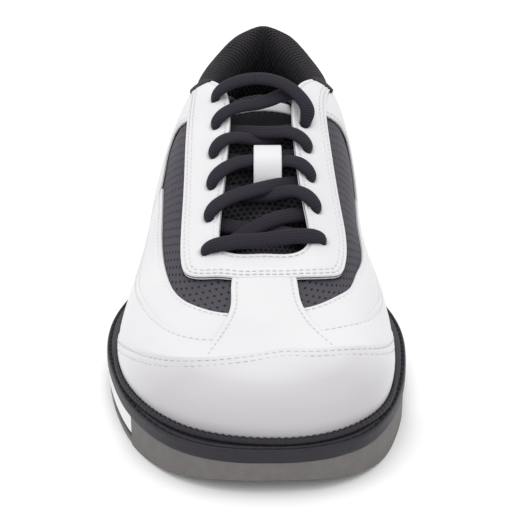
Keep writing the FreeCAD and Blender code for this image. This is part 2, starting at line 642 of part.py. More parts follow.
def lace_keeper():
    """Strap sewn to the tongue at both ends, open from side to side for the lace."""
    width = KEEPER_X[1] - KEEPER_X[0]
    foot = 0.4
    y0, y1 = KEEPER_Y
    inside = [V(KEEPER_X[0], y0 + 2, tongue_height(y0 + 2) + foot),
              V(KEEPER_X[0], y0 + 2.5, tongue_height(y0 + 2.5) + KEEPER_RISE),
              V(KEEPER_X[0], y1 - 2.5, tongue_height(y1 - 2.5) + KEEPER_RISE),
              V(KEEPER_X[0], y1 - 2, tongue_height(y1 - 2) + foot)]
    outside = [V(KEEPER_X[0], y1 - 0.6, tongue_height(y1 - 0.6) + foot),
               V(KEEPER_X[0], y1 - 1.2, tongue_height(y1 - 1.2) + KEEPER_RISE + KEEPER_STRAP),
               V(KEEPER_X[0], y0 + 1.2, tongue_height(y0 + 1.2) + KEEPER_RISE + KEEPER_STRAP),
               V(KEEPER_X[0], y0 + 0.6, tongue_height(y0 + 0.6) + foot)]
    ring = inside + outside
    return Part.Face(Part.makePolygon(ring + ring[:1])).extrude(V(width, 0, 0))


# ---------------------------------------------------------------- lace
# Centre line of the lace from its lateral tip to its medial tip. Each eyelet has a point under the
# eyestay and a point above it; each crossing has one point at either edge of the throat and one between.
LACE_ROUTE = [
    (-8.5, 51, 62), (-9, 48.5, 78), (-12.5, 42, 91), (-15, 33, 95.5), (-17.4, 20.7, 94.3),
    (-19.6, 18.6, 99.7), (-11, 17.5, 106.3), (3.3, 18, 108.3), (15.5, 13.5, 105), (23.3, 6, 97.5),
    (22.4, 3.2, 91.4), (20.6, 6.4, 86.5), (13, 4.5, 86.8), (3.3, 0.2, 82.6), (-12, -7.4, 87.6),
    (-19.4, -12.8, 81.6), (-17.8, -9.5, 76.6), (-10.5, -11, 77.6), (3.3, -13.5, 74.8), (16.5, -19, 80.3),
    (24.7, -23.3, 73.9), (22.2, -20.6, 69), (15, -22.5, 70.4), (3.3, -28.8, 70.2), (-13, -38.4, 68.3),
    (-20.2, -44, 63.1), (-18.5, -41.2, 57.8), (-11.5, -43, 57.6), (3.3, -45.6, 56.3), (18, -49, 55.8),
    (25.4, -53.7, 52.2), (27.7, -55.8, 57.5), (17, -58.5, 59.2), (3.3, -59.5, 57.4), (-10, -60.8, 57.2),
    (-20.8, -61, 54.8), (-19.6, -58.6, 49.3), (-13, -54, 52.4), (3.3, -45.4, 60.4), (16, -39.5, 61.8),
    (23.5, -37, 60), (26.2, -39.3, 65.1), (17.5, -34.6, 71.6), (3.3, -28.9, 65.9), (-10.5, -26.3, 67.6),
    (-18, -25.1, 66.9), (-19.7, -28.1, 72.1), (-12, -21.8, 78.4), (3.3, -13.4, 79), (14, -9.6, 78.6),
    (21.6, -5.7, 78.1), (23.7, -8.9, 83), (16, -4.8, 88.9), (3.3, 0.2, 86.8), (-9.5, 3, 86.8),
    (-17.1, 4.6, 86), (-18.8, 1.5, 91.1), (-11, 6.5, 96.8), (3.3, 12, 97.4), (13.5, 16, 101.5),
    (22.5, 17.7, 99.7), (20.4, 20.2, 94.5), (17, 33, 95.6), (16, 43, 91.5), (15, 49, 79),
    (15, 51.5, 62),
]


def rounded_path(points):
    """Straight runs joined by tangent arcs, as a wire, with the arcs' radii."""
    edges = []
    radii = []
    start = points[0]
    for before, here, after in zip(points, points[1:], points[2:]):
        into = (here - before).normalize()
        out = (after - here).normalize()
        turn = into.getAngle(out)
        radius = 0.45 * min(before.distanceToPoint(here), here.distanceToPoint(after)) / math.tan(turn / 2)
        reach = radius * math.tan(turn / 2)
        first = here - into * reach
        last = here + out * reach
        middle = here + (out - into).normalize() * (radius / math.cos(turn / 2) - radius)
        edges.append(Part.LineSegment(start, first).toShape())
        edges.append(Part.Arc(first, middle, last).toShape())
        radii.append(radius)
        start = last
    edges.append(Part.LineSegment(start, points[-1]).toShape())
    return Part.Wire(edges), radii


def tube(points, diameter):
    """Round tube along a rounded path."""
    wire, radii = rounded_path(points)
    start = points[0]
    profile = Part.Wire(Part.makeCircle(diameter / 2, start, points[1] - start))
    sweep = Part.BRepOffsetAPI.MakePipeShell(wire)
    sweep.add(profile)
    sweep.build()
    sweep.makeSolid()
    solid = sweep.shape()
    expected = wire.Length * math.pi * diameter ** 2 / 4
    print("tube: length %.0f, tightest radius %.1f, volume %.0f of %.0f"
          % (wire.Length, min(radii), solid.Volume, expected))
    return solid


AGLET_LENGTH = 14.0


def aglet(tip, before):
    """Plastic tip over the last stretch of the lace."""
    along = (tip - before).normalize()
    return Part.makeCylinder(LACE_DIAMETER / 2 + 0.3, AGLET_LENGTH, tip + along * 0.1, along)


def lace_parts():
    """The lace and its two tips, which share a node."""
    points = [V(*point) for point in LACE_ROUTE]
    tips = Part.makeCompound([aglet(points[0], points[1]), aglet(points[-1], points[-2])])
    return {"lace": tube(points, LACE_DIAMETER), "lace_aglets": tips}


# ---------------------------------------------------------------- build
def main():
    """Build and write every node."""
    os.makedirs("parts", exist_ok=True)
    pad_outline = EDGE_INSET + PAD_MARGIN
    nodes = {
        "toe_piece": toe_piece(), "midsole": midsole(), "welt": welt(), "welt_stitching": welt_stitching(),
        "welt_bead": welt_bead(), "shank": shank(), "filler": filler(), "insole_board": insole_board(),
        "footbed": footbed(), "footbed_cover": footbed_cover(),
        "traction_pad": sole_layer(0, PAD_RUBBER, pad_outline, -200, PAD_END, BODY_GAP),
        "traction_pad_hooks": sole_layer(PAD_RUBBER, PAD_TOP, pad_outline + 2, -200, PAD_END - 2, 2.5),
        "forefoot_loops": sole_layer(LOOP_BOTTOM, MIDSOLE_BOTTOM, pad_outline + 2, -200, PAD_END - 2, 2.5),
        "heel_pad": sole_layer(0, PAD_RUBBER, pad_outline, HEEL_START, 200, None),
        "heel_pad_hooks": sole_layer(PAD_RUBBER, PAD_TOP, pad_outline + 2, HEEL_START + 2, 200, None),
        "heel_loops": sole_layer(LOOP_BOTTOM, MIDSOLE_BOTTOM, pad_outline + 2, HEEL_START + 2, 200, None),
        "toe_cap": panel(CAP_FOOT, CAP_EDGE, TOP_LAYER, 25, 7), "vamp_center": vamp(),
        "heel_cover": heel_cover(), "back_strip": upright(FOOT, COLLAR_SEAM - SEAM, 9.29, 10.71, MID_LAYER, 9),
        "back_tab": upright(0.48, 0.86, 9.6, 10.4, TOP_LAYER, 5),
        "collar_piping_lateral": collar_piping(1), "collar_piping_medial": collar_piping(-1),
        "tongue_mesh": tongue_sheet(0, LINING), "tongue_foam": tongue_sheet(LINING + 0.05, 4.2),
        "tongue_lining": tongue_sheet(4.25, 4.25 + LINING), "lace_keeper": lace_keeper(),
    }
    for group in (eyestay_panels(), side_panels(1), side_panels(-1), collar(), linings(), stiffeners(),
                  lace_parts()):
        nodes.update(group)
    for name, shape in nodes.items():
        save(name, shape)
    print(len(nodes), "nodes")


main()
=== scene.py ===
"""Looks of the laced bowling shoe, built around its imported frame. Lengths in this file are millimetres
until a mesh is made, where MM turns them into metres."""
import math

import bpy
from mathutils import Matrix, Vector
import numpy as np


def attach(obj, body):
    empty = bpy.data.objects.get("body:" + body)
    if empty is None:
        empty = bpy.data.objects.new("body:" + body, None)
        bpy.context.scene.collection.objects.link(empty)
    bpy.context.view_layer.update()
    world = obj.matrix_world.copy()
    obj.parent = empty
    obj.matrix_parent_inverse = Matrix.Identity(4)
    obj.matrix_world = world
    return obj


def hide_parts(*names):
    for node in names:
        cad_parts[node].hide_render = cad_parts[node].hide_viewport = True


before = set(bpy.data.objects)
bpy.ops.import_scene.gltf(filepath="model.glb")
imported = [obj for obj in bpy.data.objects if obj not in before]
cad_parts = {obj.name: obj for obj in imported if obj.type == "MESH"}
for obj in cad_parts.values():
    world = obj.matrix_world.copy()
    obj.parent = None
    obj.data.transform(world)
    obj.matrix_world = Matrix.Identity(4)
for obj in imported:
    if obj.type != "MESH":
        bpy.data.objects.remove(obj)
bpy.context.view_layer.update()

MM = 0.001
BODY = "shoe"

# ---- the last surface, as in the CAD model
# One row per meridian from toe to heel, at six stations going up: (lateral x, y, z, medial x, y, z).
# Both sides share the first and the last row, which give one point per station.
MERIDIANS = [
    [(3, -143.5, 16.5), (3, -144, 28), (3, -131, 36.5), (3, -109, 40), (3, -85.5, 45), (3.3, -62, 52.3)],
    [(-20, -137.5, 16.5, 25, -139.5, 16.5), (-20, -138, 28, 25, -140, 28), (-16, -126, 36, 21, -127.5, 36),
     (-12, -106, 40, 17, -107, 40), (-8, -84, 45, 14, -84, 45), (-5, -62.5, 52.3, 11.5, -62.5, 52.3)],
    [(-38, -120, 16.5, 43, -122, 16.5), (-38.5, -119.5, 28, 43.5, -121, 28),
     (-32, -111, 36.5, 37, -112, 36.5), (-24, -95, 41, 29, -95, 41.5), (-16.5, -77, 46.5, 22.5, -77, 47),
     (-11.5, -61.5, 53, 18, -61, 53.5)],
    [(-49.5, -94, 16.5, 50.5, -94, 16.5), (-50, -92, 27.5, 50.5, -92, 27.5),
     (-41.5, -87.5, 38, 43, -88, 38), (-32.5, -77, 44, 34.5, -76, 45), (-22.5, -65, 49.5, 27, -63, 51.5),
     (-14.5, -54, 56, 21, -53, 58)],
    [(-53.5, -62, 16.5, 53.5, -62, 16.5), (-52, -60, 29, 52, -60, 29), (-46, -56, 42, 46.5, -55, 43),
     (-36, -48, 52, 37, -46, 53.5), (-25, -40, 60, 27, -37, 62), (-13.5, -34, 67, 18.5, -31, 69.5)],
    [(-51, -25, 17, 49.5, -25, 17), (-49.5, -24, 32, 48.5, -24, 32), (-46, -22, 49, 45.5, -21, 50),
     (-37.5, -17, 64, 38.5, -15, 65), (-25, -10.5, 77, 28.5, -7, 78), (-11.5, -6, 84.5, 16, -2, 86.5)],
    [(-44.5, 18, 19.5, 41.5, 18, 19.5), (-46, 18, 38, 44, 18, 38), (-45.5, 19, 58, 46.5, 19, 58),
     (-40, 21, 76, 42.5, 22, 77), (-29.5, 24, 92, 33.5, 26, 93), (-14, 26, 101, 19, 29, 102)],
    [(-34.5, 72, 24.5, 39, 72, 24.5), (-38, 73, 43, 42.5, 73, 43), (-39.5, 72, 62, 44, 72, 62),
     (-36.5, 70, 80, 42.5, 70, 80), (-32, 67, 92, 38, 67, 92), (-27, 66, 100, 33.5, 66, 100)],
    [(-28, 112, 26, 36.5, 112, 26), (-31, 114, 45, 39, 114, 45), (-31.5, 114, 63, 39, 114, 63),
     (-28, 112, 82, 35.5, 112, 82), (-23.5, 109, 96, 30.5, 109, 96), (-20, 106, 105, 27, 106, 105)],
    [(-16, 137, 26.5, 24, 137, 26.5), (-17.5, 140, 46, 25.5, 140, 46), (-17, 140.5, 64, 25.5, 140.5, 64),
     (-14.5, 138, 84, 22.5, 138, 84), (-12, 134.5, 99, 20, 134.5, 99), (-9.5, 131, 109, 17.5, 131, 109)],
    [(4, 144.5, 26.5), (4, 148, 46), (4, 148.5, 64), (4, 146, 84), (4, 143, 101), (4, 141, 112.5)],
]
HEEL = len(MERIDIANS) - 1
RING = 2 * HEEL
STATIONS = 6


def bend_matrix(n, ring):
    """Matrix that gives a cubic spline's second derivatives from n evenly spaced values."""
    left = np.eye(n)
    right = np.zeros((n, n))
    for i in range(n):
        if ring or 0 < i < n - 1:
            for j, weight, force in ((i - 1, 1, 6), (i, 4, -12), (i + 1, 1, 6)):
                left[i, j % n] = weight
                right[i, j % n] = force
    return np.linalg.solve(left, right)


NET = np.array([[row[:3] for row in MERIDIANS[i]] if i <= HEEL else [row[3:] for row in MERIDIANS[RING - i]]
                for i in range(RING)], float)
NET_BENDS = np.einsum("ij,jkc->ikc", bend_matrix(RING, True), NET)
STATION_BENDS = bend_matrix(STATIONS, False)


def between(b, low, high, low_bend, high_bend):
    """Cubic spline a part b of the way from low to high, from the values and second derivatives there."""
    a = 1 - b
    return a * low + b * high + ((a ** 3 - a) * low_bend + (b ** 3 - b) * high_bend) / 6


def last_point(t, v):
    """Points of the last surface for arrays t and v; v may run a little past 0 or 1."""
    t, v = np.broadcast_arrays(np.asarray(t, float), np.asarray(v, float))
    first = np.floor(t).astype(int)
    here, after = first % RING, (first + 1) % RING
    rows = between((t - first)[..., None, None], NET[here], NET[after], NET_BENDS[here], NET_BENDS[after])
    second = np.einsum("kj,...jc->...kc", STATION_BENDS, rows)
    place = v * (STATIONS - 1)
    span = np.clip(place.astype(int), 0, STATIONS - 2)

    def pick(values, index):
        return np.take_along_axis(values, index[..., None, None], axis=-2)[..., 0, :]
    return between((place - span)[..., None], pick(rows, span), pick(rows, span + 1), pick(second, span),
                   pick(second, span + 1))


def slopes(t, v):
    """Derivatives of the surface along t and along v."""
    step = 0.01
    return ((last_point(t + step, v) - last_point(t - step, v)) / (2 * step),
            (last_point(t, v + step) - last_point(t, v - step)) / (2 * step))


def unit(vectors):
    """Vectors scaled to length 1."""
    return vectors / np.maximum(np.linalg.norm(vectors, axis=-1, keepdims=True), 1e-9)


def normal(t, v):
    """Outward normals of the last surface."""
    along, up = slopes(t, v)
    return unit(np.cross(up, along))


def skin(t, v, height):
    """Points at a height above the last surface."""
    return last_point(t, v) + normal(t, v) * np.asarray(height)[..., None]


# ---- curves
def run_length(points):
    """Length along a line of points, from 0 at its start."""
    return np.concatenate([[0], np.cumsum(np.linalg.norm(np.diff(points, axis=0), axis=1))])


def along_line(places, run, points):
    """Points of a line at some of its running lengths."""
    return np.stack([np.interp(places, run, column) for column in points.T], axis=-1)


def cubic(values, ring=False):
    """Function of a running index, through evenly spaced values."""
    values = np.asarray(values, float)
    n = len(values)
    second = bend_matrix(n, ring) @ values

    def at(place):
        place = np.asarray(place, float)
        first = np.floor(place).astype(int)
        if not ring:
            first = np.clip(first, 0, n - 2)
        i, j = first % n, (first + 1) % n
        return between((place - first)[..., None], values[i], values[j], second[i], second[j])
    return at


def edge(stations):
    """Function from 0..1 to (t, v), smooth through the stations and even in length."""
    line = cubic(stations)
    fine = line(np.linspace(0, len(stations) - 1, 40 * len(stations)))
    length = run_length(last_point(*fine.T))
    length /= length[-1]

    def at(part):
        return along_line(part, length, fine)
    return at


def inset_path(places, distance):
    """(t, v) places moved sideways over the surface by a distance in millimetres, to the left of travel."""
    along, up = slopes(places[:, 0], places[:, 1])
    step = np.gradient(places, axis=0)
    e, f, g = (along * along).sum(1), (along * up).sum(1), (up * up).sum(1)
    low = np.stack([e * step[:, 0] + f * step[:, 1], f * step[:, 0] + g * step[:, 1]], 1)
    side = np.stack([-low[:, 1], low[:, 0]], 1)
    size = np.sqrt(e * side[:, 0] ** 2 + 2 * f * side[:, 0] * side[:, 1] + g * side[:, 1] ** 2)
    return places + side / size[:, None] * distance


# ---- meshes
def add(name, data):
    """New object in the scene."""
    obj = bpy.data.objects.new(name, data)
    bpy.context.collection.objects.link(obj)
    return obj


def new_object(name, verts, faces, material, smooth=True, uvs=None, slot=None, body=BODY):
    """Mesh object that rides on a body. Verts are in millimetres; uvs hold one pair per vertex."""
    mesh = bpy.data.meshes.new(name)
    mesh.from_pydata((np.asarray(verts) * MM).tolist(), [], [tuple(int(i) for i in face) for face in faces])
    if uvs is not None:
        layer = mesh.uv_layers.new(name="UVMap")
        loops = np.zeros(len(mesh.loops), int)
        mesh.loops.foreach_get("vertex_index", loops)
        layer.data.foreach_set("uv", np.asarray(uvs, np.float32)[loops].ravel())
    mesh.materials.append(material)
    mesh.polygons.foreach_set("use_smooth", [smooth] * len(mesh.polygons))
    mesh.update()
    obj = add(name, mesh)
    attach(obj, body)
    return obj


def grid_faces(rows, cols, ring_rows=False, ring_cols=False, start=0, flip=False):
    """Quads of a grid of vertices numbered row by row."""
    i = np.arange(rows if ring_rows else rows - 1)
    j = np.arange(cols if ring_cols else cols - 1)
    i, j = np.meshgrid(i, j, indexing="ij")
    i2, j2 = (i + 1) % rows, (j + 1) % cols
    corners = np.stack([i * cols + j, i2 * cols + j, i2 * cols + j2, i * cols + j2], -1)
    quads = corners.reshape(-1, 4) + start
    return quads[:, ::-1] if flip else quads


def rim_faces(rows, cols, start):
    """Quads that join the borders of two equal grids, the second one starting at start."""
    loop = ([(0, j) for j in range(cols)] + [(i, cols - 1) for i in range(1, rows)]
            + [(rows - 1, j) for j in range(cols - 2, -1, -1)] + [(i, 0) for i in range(rows - 2, 0, -1)])
    ids = [i * cols + j for i, j in loop]
    return [(ids[k], ids[(k + 1) % len(ids)], ids[(k + 1) % len(ids)] + start, ids[k] + start)
            for k in range(len(ids))]


def slab_mesh(name, top, under, material, uvs=None, **extra):
    """Closed mesh between two grids of points."""
    rows, cols = top.shape[:2]
    count = rows * cols
    verts = np.concatenate([top.reshape(-1, 3), under.reshape(-1, 3)])
    faces = [*grid_faces(rows, cols, flip=True), *grid_faces(rows, cols, start=count),
             *rim_faces(rows, cols, count)]
    both = None if uvs is None else np.concatenate([uvs.reshape(-1, 2)] * 2)
    return new_object(name, verts, faces, material, uvs=both, **extra)


BORDER = (0.0, 0.12, 0.3, 0.55, 0.9, 1.3, 1.7, 2.2, 2.8, 3.4, 4.0, 4.8)    # rows of vertices along an edge


def spread(length, step):
    """Fractions from 0 to 1 along a length, close together near both ends."""
    border = [d / length for d in BORDER if d < length / 2.2]
    inner = np.linspace(border[-1], 1 - border[-1], max(3, int((1 - 2 * border[-1]) * length / step)))
    return np.concatenate([border[:-1], inner, [1 - d for d in border[:-1]][::-1]])


def surface_grid(low_edge, high_edge, step):
    """(t, v) grid of a panel between two edge curves, with each point's distance to the four borders."""
    low, high = edge(low_edge), edge(high_edge)
    part = np.linspace(0, 1, 60)
    length = max(run_length(last_point(*curve(part).T))[-1] for curve in (low, high))
    a = spread(length, step)
    width = np.linalg.norm(last_point(*high(part).T) - last_point(*low(part).T), axis=1).mean()
    b = spread(width, step)
    places = low(a)[:, None] * (1 - b)[None, :, None] + high(a)[:, None] * b[None, :, None]
    points = last_point(places[..., 0], places[..., 1])
    along = np.linalg.norm(np.diff(points, axis=0), axis=2)
    across = np.linalg.norm(np.diff(points, axis=1), axis=2)
    run_a = np.concatenate([np.zeros((1, len(b))), np.cumsum(along, 0)])
    run_b = np.concatenate([np.zeros((len(a), 1)), np.cumsum(across, 1)], 1)
    distances = np.stack([run_b, run_b[:, -1:] - run_b, run_a, run_a[-1:] - run_a])
    uvs = np.stack([run_a, run_b], -1) * MM
    return places, distances, uvs


LEATHER = 1.1
LAYER_GAP = 0.12
TOP = 0.0
MID = TOP - LAYER_GAP - LEATHER
BASE = MID - LAYER_GAP - LEATHER
EDGE_ROUND = 0.7
PUFF_REACH = 4.0
GROOVE_DEPTH, GROOVE_HALF = 0.28, 0.6


def leather_height(distances, puff, grooves):
    """Height over a panel's base: rounded edges, slightly full between seams, sunk along rows of stitches.
    grooves lists (border, distance) pairs: border 0 is the low edge, 1 the high edge, 2 and 3 the ends."""
    inside = distances.min(0)
    rounding = np.clip(1 - inside / EDGE_ROUND, 0, 1)
    height = LEATHER - EDGE_ROUND * (1 - np.sqrt(1 - rounding ** 2))
    height += puff * (1 - np.exp(-inside / PUFF_REACH))
    for border, distance in grooves:
        height -= GROOVE_DEPTH * np.exp(-((distances[border] - distance) / GROOVE_HALF) ** 2)
    return height


def panel(name, low_edge, high_edge, base, material, node, step=1.6, puff=0.25, grooves=(),
          slot="white_leather"):
    """Leather panel that stands for one CAD part."""
    places, distances, uvs = surface_grid(low_edge, high_edge, step)
    height = leather_height(distances, puff, grooves)
    t, v = places[..., 0], places[..., 1]
    obj = slab_mesh(name, skin(t, v, base + height), skin(t, v, base + 0 * height), material, uvs, slot=slot)
    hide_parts(node)


def stitches(name, path, height):
    """Row of thread stitches along (t, v) places, half sunk in the leather."""
    points = skin(path[:, 0], path[:, 1], np.full(len(path), float(height)))
    ups = normal(path[:, 0], path[:, 1])
    add_stitches(name, points, ups, M["thread"], pitch=2.6, length=1.8, radius=0.26, slot="white_leather")


def add_stitches(name, points, ups, material, pitch, length, radius, slot):
    """Capsules laid end to end along a line of points, as one object."""
    run = run_length(points)
    centres = np.arange(pitch / 2, run[-1], pitch)
    verts, faces = [], []
    sides, rings = 6, np.array([-1, -0.8, 0, 0.8, 1])
    fat = np.array([0.25, 0.8, 1.0, 0.8, 0.25])
    turn = np.linspace(0, 2 * math.pi, sides, endpoint=False)
    for centre in centres:
        middle = along_line(centre, run, points)
        back, front = (along_line(centre + half, run, points) for half in (-length / 2, length / 2))
        forward = unit(front - back)
        up = unit(along_line(centre, run, ups))
        side = unit(np.cross(forward, up))
        start = len(verts)
        for ring, size in zip(rings, fat):
            sag = -0.45 * radius * ring ** 2
            for angle in turn:
                verts.append(middle + forward * ring * length / 2 + up * sag
                             + (side * math.cos(angle) + up * math.sin(angle)) * radius * size)
        faces.extend(grid_faces(len(rings), sides, ring_cols=True, start=start, flip=True).tolist())
        faces.append([start + k for k in range(sides)])
        faces.append([start + (len(rings) - 1) * sides + k for k in range(sides)][::-1])
    return new_object(name, np.array(verts), faces, material, slot=slot)


# ---- materials
def plain(name, color, rough, **sockets):
    """Material with a Principled shader, and its node tree and shader."""
    mat = bpy.data.materials.new(name)
    mat.use_nodes = True
    shader = mat.node_tree.nodes["Principled BSDF"]
    shader.inputs["Base Color"].default_value = (*color, 1)
    shader.inputs["Roughness"].default_value = rough
    for key, value in sockets.items():
        shader.inputs[key.replace("_", " ")].default_value = value
    return mat, mat.node_tree, shader


def shader_node(tree, kind, **settings):
    """New node with its settings."""
    made = tree.nodes.new(kind)
    for key, value in settings.items():
        setattr(made, key, value)
    return made


def texture(tree, kind, scale):
    """Texture node in object coordinates, scale in cells per metre."""
    made = shader_node(tree, kind)
    made.inputs["Scale"].default_value = scale
    tree.links.new(shader_node(tree, "ShaderNodeTexCoord").outputs["Object"], made.inputs["Vector"])
    return made


def noise(tree, scale, detail=3.0):
    """Height from a noise texture."""
    made = texture(tree, "ShaderNodeTexNoise", scale)
    made.inputs["Detail"].default_value = detail
    return made.outputs["Fac"]


def cells(tree, scale):
    """Height from the cells of a Voronoi texture."""
    return texture(tree, "ShaderNodeTexVoronoi", scale).outputs["Distance"]


def bump(shader, height, strength, distance):
    """Bump from a height, on top of any bump that is already there."""
    tree = shader.id_data
    made = shader_node(tree, "ShaderNodeBump")
    made.inputs["Strength"].default_value = strength
    made.inputs["Distance"].default_value = distance
    tree.links.new(height, made.inputs["Height"])
    earlier = shader.inputs["Normal"].links
    if earlier:
        tree.links.new(earlier[0].from_socket, made.inputs["Normal"])
    tree.links.new(made.outputs["Normal"], shader.inputs["Normal"])


def tint(shader, factor, low, high, start=0.3, end=0.7):
    """Colour that runs from low to high with a factor."""
    tree = shader.id_data
    ramp = shader_node(tree, "ShaderNodeValToRGB")
    ramp.color_ramp.elements[0].position = start
    ramp.color_ramp.elements[1].position = end
    ramp.color_ramp.elements[0].color = (*low, 1)
    ramp.color_ramp.elements[1].color = (*high, 1)
    tree.links.new(factor, ramp.inputs["Fac"])
    tree.links.new(ramp.outputs["Color"], shader.inputs["Base Color"])


def calc(tree, operation, *inputs):
    """Math node of numbers and sockets."""
    made = shader_node(tree, "ShaderNodeMath", operation=operation)
    for index, value in enumerate(inputs):
        if isinstance(value, (int, float)):
            made.inputs[index].default_value = value
        else:
            tree.links.new(value, made.inputs[index])
    return made.outputs[0]


def axes(tree, source):
    """The three numbers of a coordinate, UV or Object."""
    split = shader_node(tree, "ShaderNodeSeparateXYZ")
    tree.links.new(shader_node(tree, "ShaderNodeTexCoord").outputs[source], split.inputs[0])
    return split.outputs


def dots(tree, pitch_u, pitch_v, softness):
    """Height that is 0 at the centres of a staggered pattern of dots and grows to 1 away from them."""
    u, v, _ = axes(tree, "UV")
    nearest = None
    for shift in (0.0, 0.5):
        sides = []
        for place, pitch in ((u, pitch_u), (v, pitch_v)):
            steps = calc(tree, "ADD", calc(tree, "DIVIDE", place, pitch), shift)
            off = calc(tree, "SUBTRACT", calc(tree, "FRACT", steps), 0.5)
            sides.append(calc(tree, "MULTIPLY", off, pitch))
        du, dv = sides
        square = calc(tree, "ADD", calc(tree, "MULTIPLY", du, du), calc(tree, "MULTIPLY", dv, dv))
        far = calc(tree, "SQRT", square)
        nearest = far if nearest is None else calc(tree, "MINIMUM", nearest, far)
    return calc(tree, "MINIMUM", calc(tree, "DIVIDE", nearest, softness), 1.0)


def leather_grain(shader, waves):
    """Fine grain and soft waves of coated leather."""
    tree = shader.id_data
    bump(shader, cells(tree, 1100), 0.1, 0.0002)
    bump(shader, noise(tree, waves, 4), 0.12, 0.0012)


def white_leather():
    """Coated white leather with a fine grain."""
    mat, tree, shader = plain("white_leather", (0.84, 0.84, 0.85), 0.42, Specular_IOR_Level=0.4)
    tint(shader, noise(tree, 25, 2), (0.655, 0.655, 0.668), (0.69, 0.69, 0.70))
    leather_grain(shader, 90)
    return mat


def cap_leather_with_painted_shade():
    """The toe cap's leather, a little more satin, with painted shade: greyer toward its front and foot."""
    mat, tree, shader = plain("toe_cap_leather", (0.6, 0.6, 0.62), 0.38, Specular_IOR_Level=0.45)
    # Painted shade: the cap's colour darkens toward its front and its foot, standing in for the lesser light
    # that falls there.
    _, y, z = axes(tree, "Object")
    behind = calc(tree, "DIVIDE", calc(tree, "ADD", y, 0.131), 0.026)
    above = calc(tree, "DIVIDE", calc(tree, "SUBTRACT", z, 0.0345), 0.0045)
    painted_shade_share = calc(tree, "MAXIMUM", behind, above)
    tint(shader, painted_shade_share, (0.51, 0.496, 0.514), (0.65, 0.645, 0.66), 0.0, 1.0)
    leather_grain(shader, 70)
    return mat


def perforated():
    """Charcoal leather with small punched holes."""
    mat, tree, shader = plain("perforated_leather", (0.06, 0.055, 0.068), 0.6, Specular_IOR_Level=0.3)
    holes = dots(tree, 0.0054, 0.0040, 0.0007)
    tint(shader, holes, (0.006, 0.006, 0.007), (0.052, 0.045, 0.06), 0.85, 1.0)
    bump(shader, holes, 0.8, 0.0006)
    bump(shader, cells(tree, 1300), 0.25, 0.0002)
    return mat


def mesh_fabric(name, pitch_u, pitch_v, hole, dark, light):
    """Knitted mesh with rows of open cells."""
    mat, tree, shader = plain(name, light, 0.85, Sheen_Weight=0.06, Specular_IOR_Level=0.15)
    openings = dots(tree, pitch_u, pitch_v, hole)
    tint(shader, openings, dark, light, 0.45, 0.95)
    bump(shader, openings, 1.0, 0.0007)
    bump(shader, noise(tree, 2500, 2), 0.4, 0.0003)
    return mat


def shades(color, down, up):
    """A darker and a lighter shade of a colour."""
    return tuple(part * down for part in color), tuple(min(1.0, part * up) for part in color)


def woven(name, color, scale=1500.0, relief=0.0003):
    """Plain textile with a fine tooth."""
    mat, tree, shader = plain(name, color, 0.9, Sheen_Weight=0.05, Specular_IOR_Level=0.15)
    tint(shader, noise(tree, scale, 3), *shades(color, 0.7, 1.35))
    bump(shader, noise(tree, scale, 3), 0.5, relief)
    return mat


def braid():
    """Braided lace: two families of yarns that cross."""
    yarn_pitch, yarns_around = 0.0021, 9
    mat, tree, shader = plain("lace_braid", (0.022, 0.02, 0.026), 0.85, Sheen_Weight=0.05,
                              Specular_IOR_Level=0.12)
    u, v, _ = axes(tree, "UV")
    steps = calc(tree, "MULTIPLY", u, 2 * math.pi / yarn_pitch)
    rounds = calc(tree, "MULTIPLY", v, 2 * math.pi * yarns_around)
    right = calc(tree, "SINE", calc(tree, "ADD", steps, rounds))
    left = calc(tree, "SINE", calc(tree, "SUBTRACT", steps, rounds))
    wave = calc(tree, "ADD", calc(tree, "MULTIPLY", calc(tree, "MULTIPLY", right, left), 0.5), 0.5)
    tint(shader, wave, (0.015, 0.013, 0.019), (0.030, 0.026, 0.038), 0.1, 0.9)
    bump(shader, wave, 0.25, 0.0003)
    bump(shader, noise(tree, 1600, 4), 0.6, 0.0004)
    return mat


def rubber(name, color, rough, grain, mottle=0.08):
    """Moulded or buffed rubber."""
    mat, tree, shader = plain(name, color, rough, Specular_IOR_Level=0.35)
    tint(shader, noise(tree, 260, 5), *shades(color, 1 - mottle, 1 + mottle))
    bump(shader, noise(tree, 900, 4), grain, 0.0004)
    bump(shader, noise(tree, 60, 2), grain, 0.0008)
    return mat


def cork():
    """Pressed cork crumbs."""
    mat, tree, shader = plain("cork", (0.42, 0.27, 0.15), 0.9)
    tint(shader, cells(tree, 420), (0.25, 0.15, 0.08), (0.5, 0.33, 0.19), 0.1, 0.8)
    bump(shader, cells(tree, 420), 0.5, 0.0006)
    return mat


def fibre_board():
    """Pressed fibre board."""
    mat, tree, shader = plain("fibre_board", (0.5, 0.4, 0.28), 0.85)
    tint(shader, noise(tree, 700, 5), (0.42, 0.33, 0.22), (0.58, 0.47, 0.34))
    bump(shader, noise(tree, 1200, 4), 0.3, 0.0003)
    return mat


def steel():
    """Ground spring steel."""
    mat, tree, shader = plain("spring_steel", (0.5, 0.5, 0.52), 0.35, Metallic=1.0)
    bump(shader, noise(tree, 1500, 2), 0.15, 0.0002)
    return mat


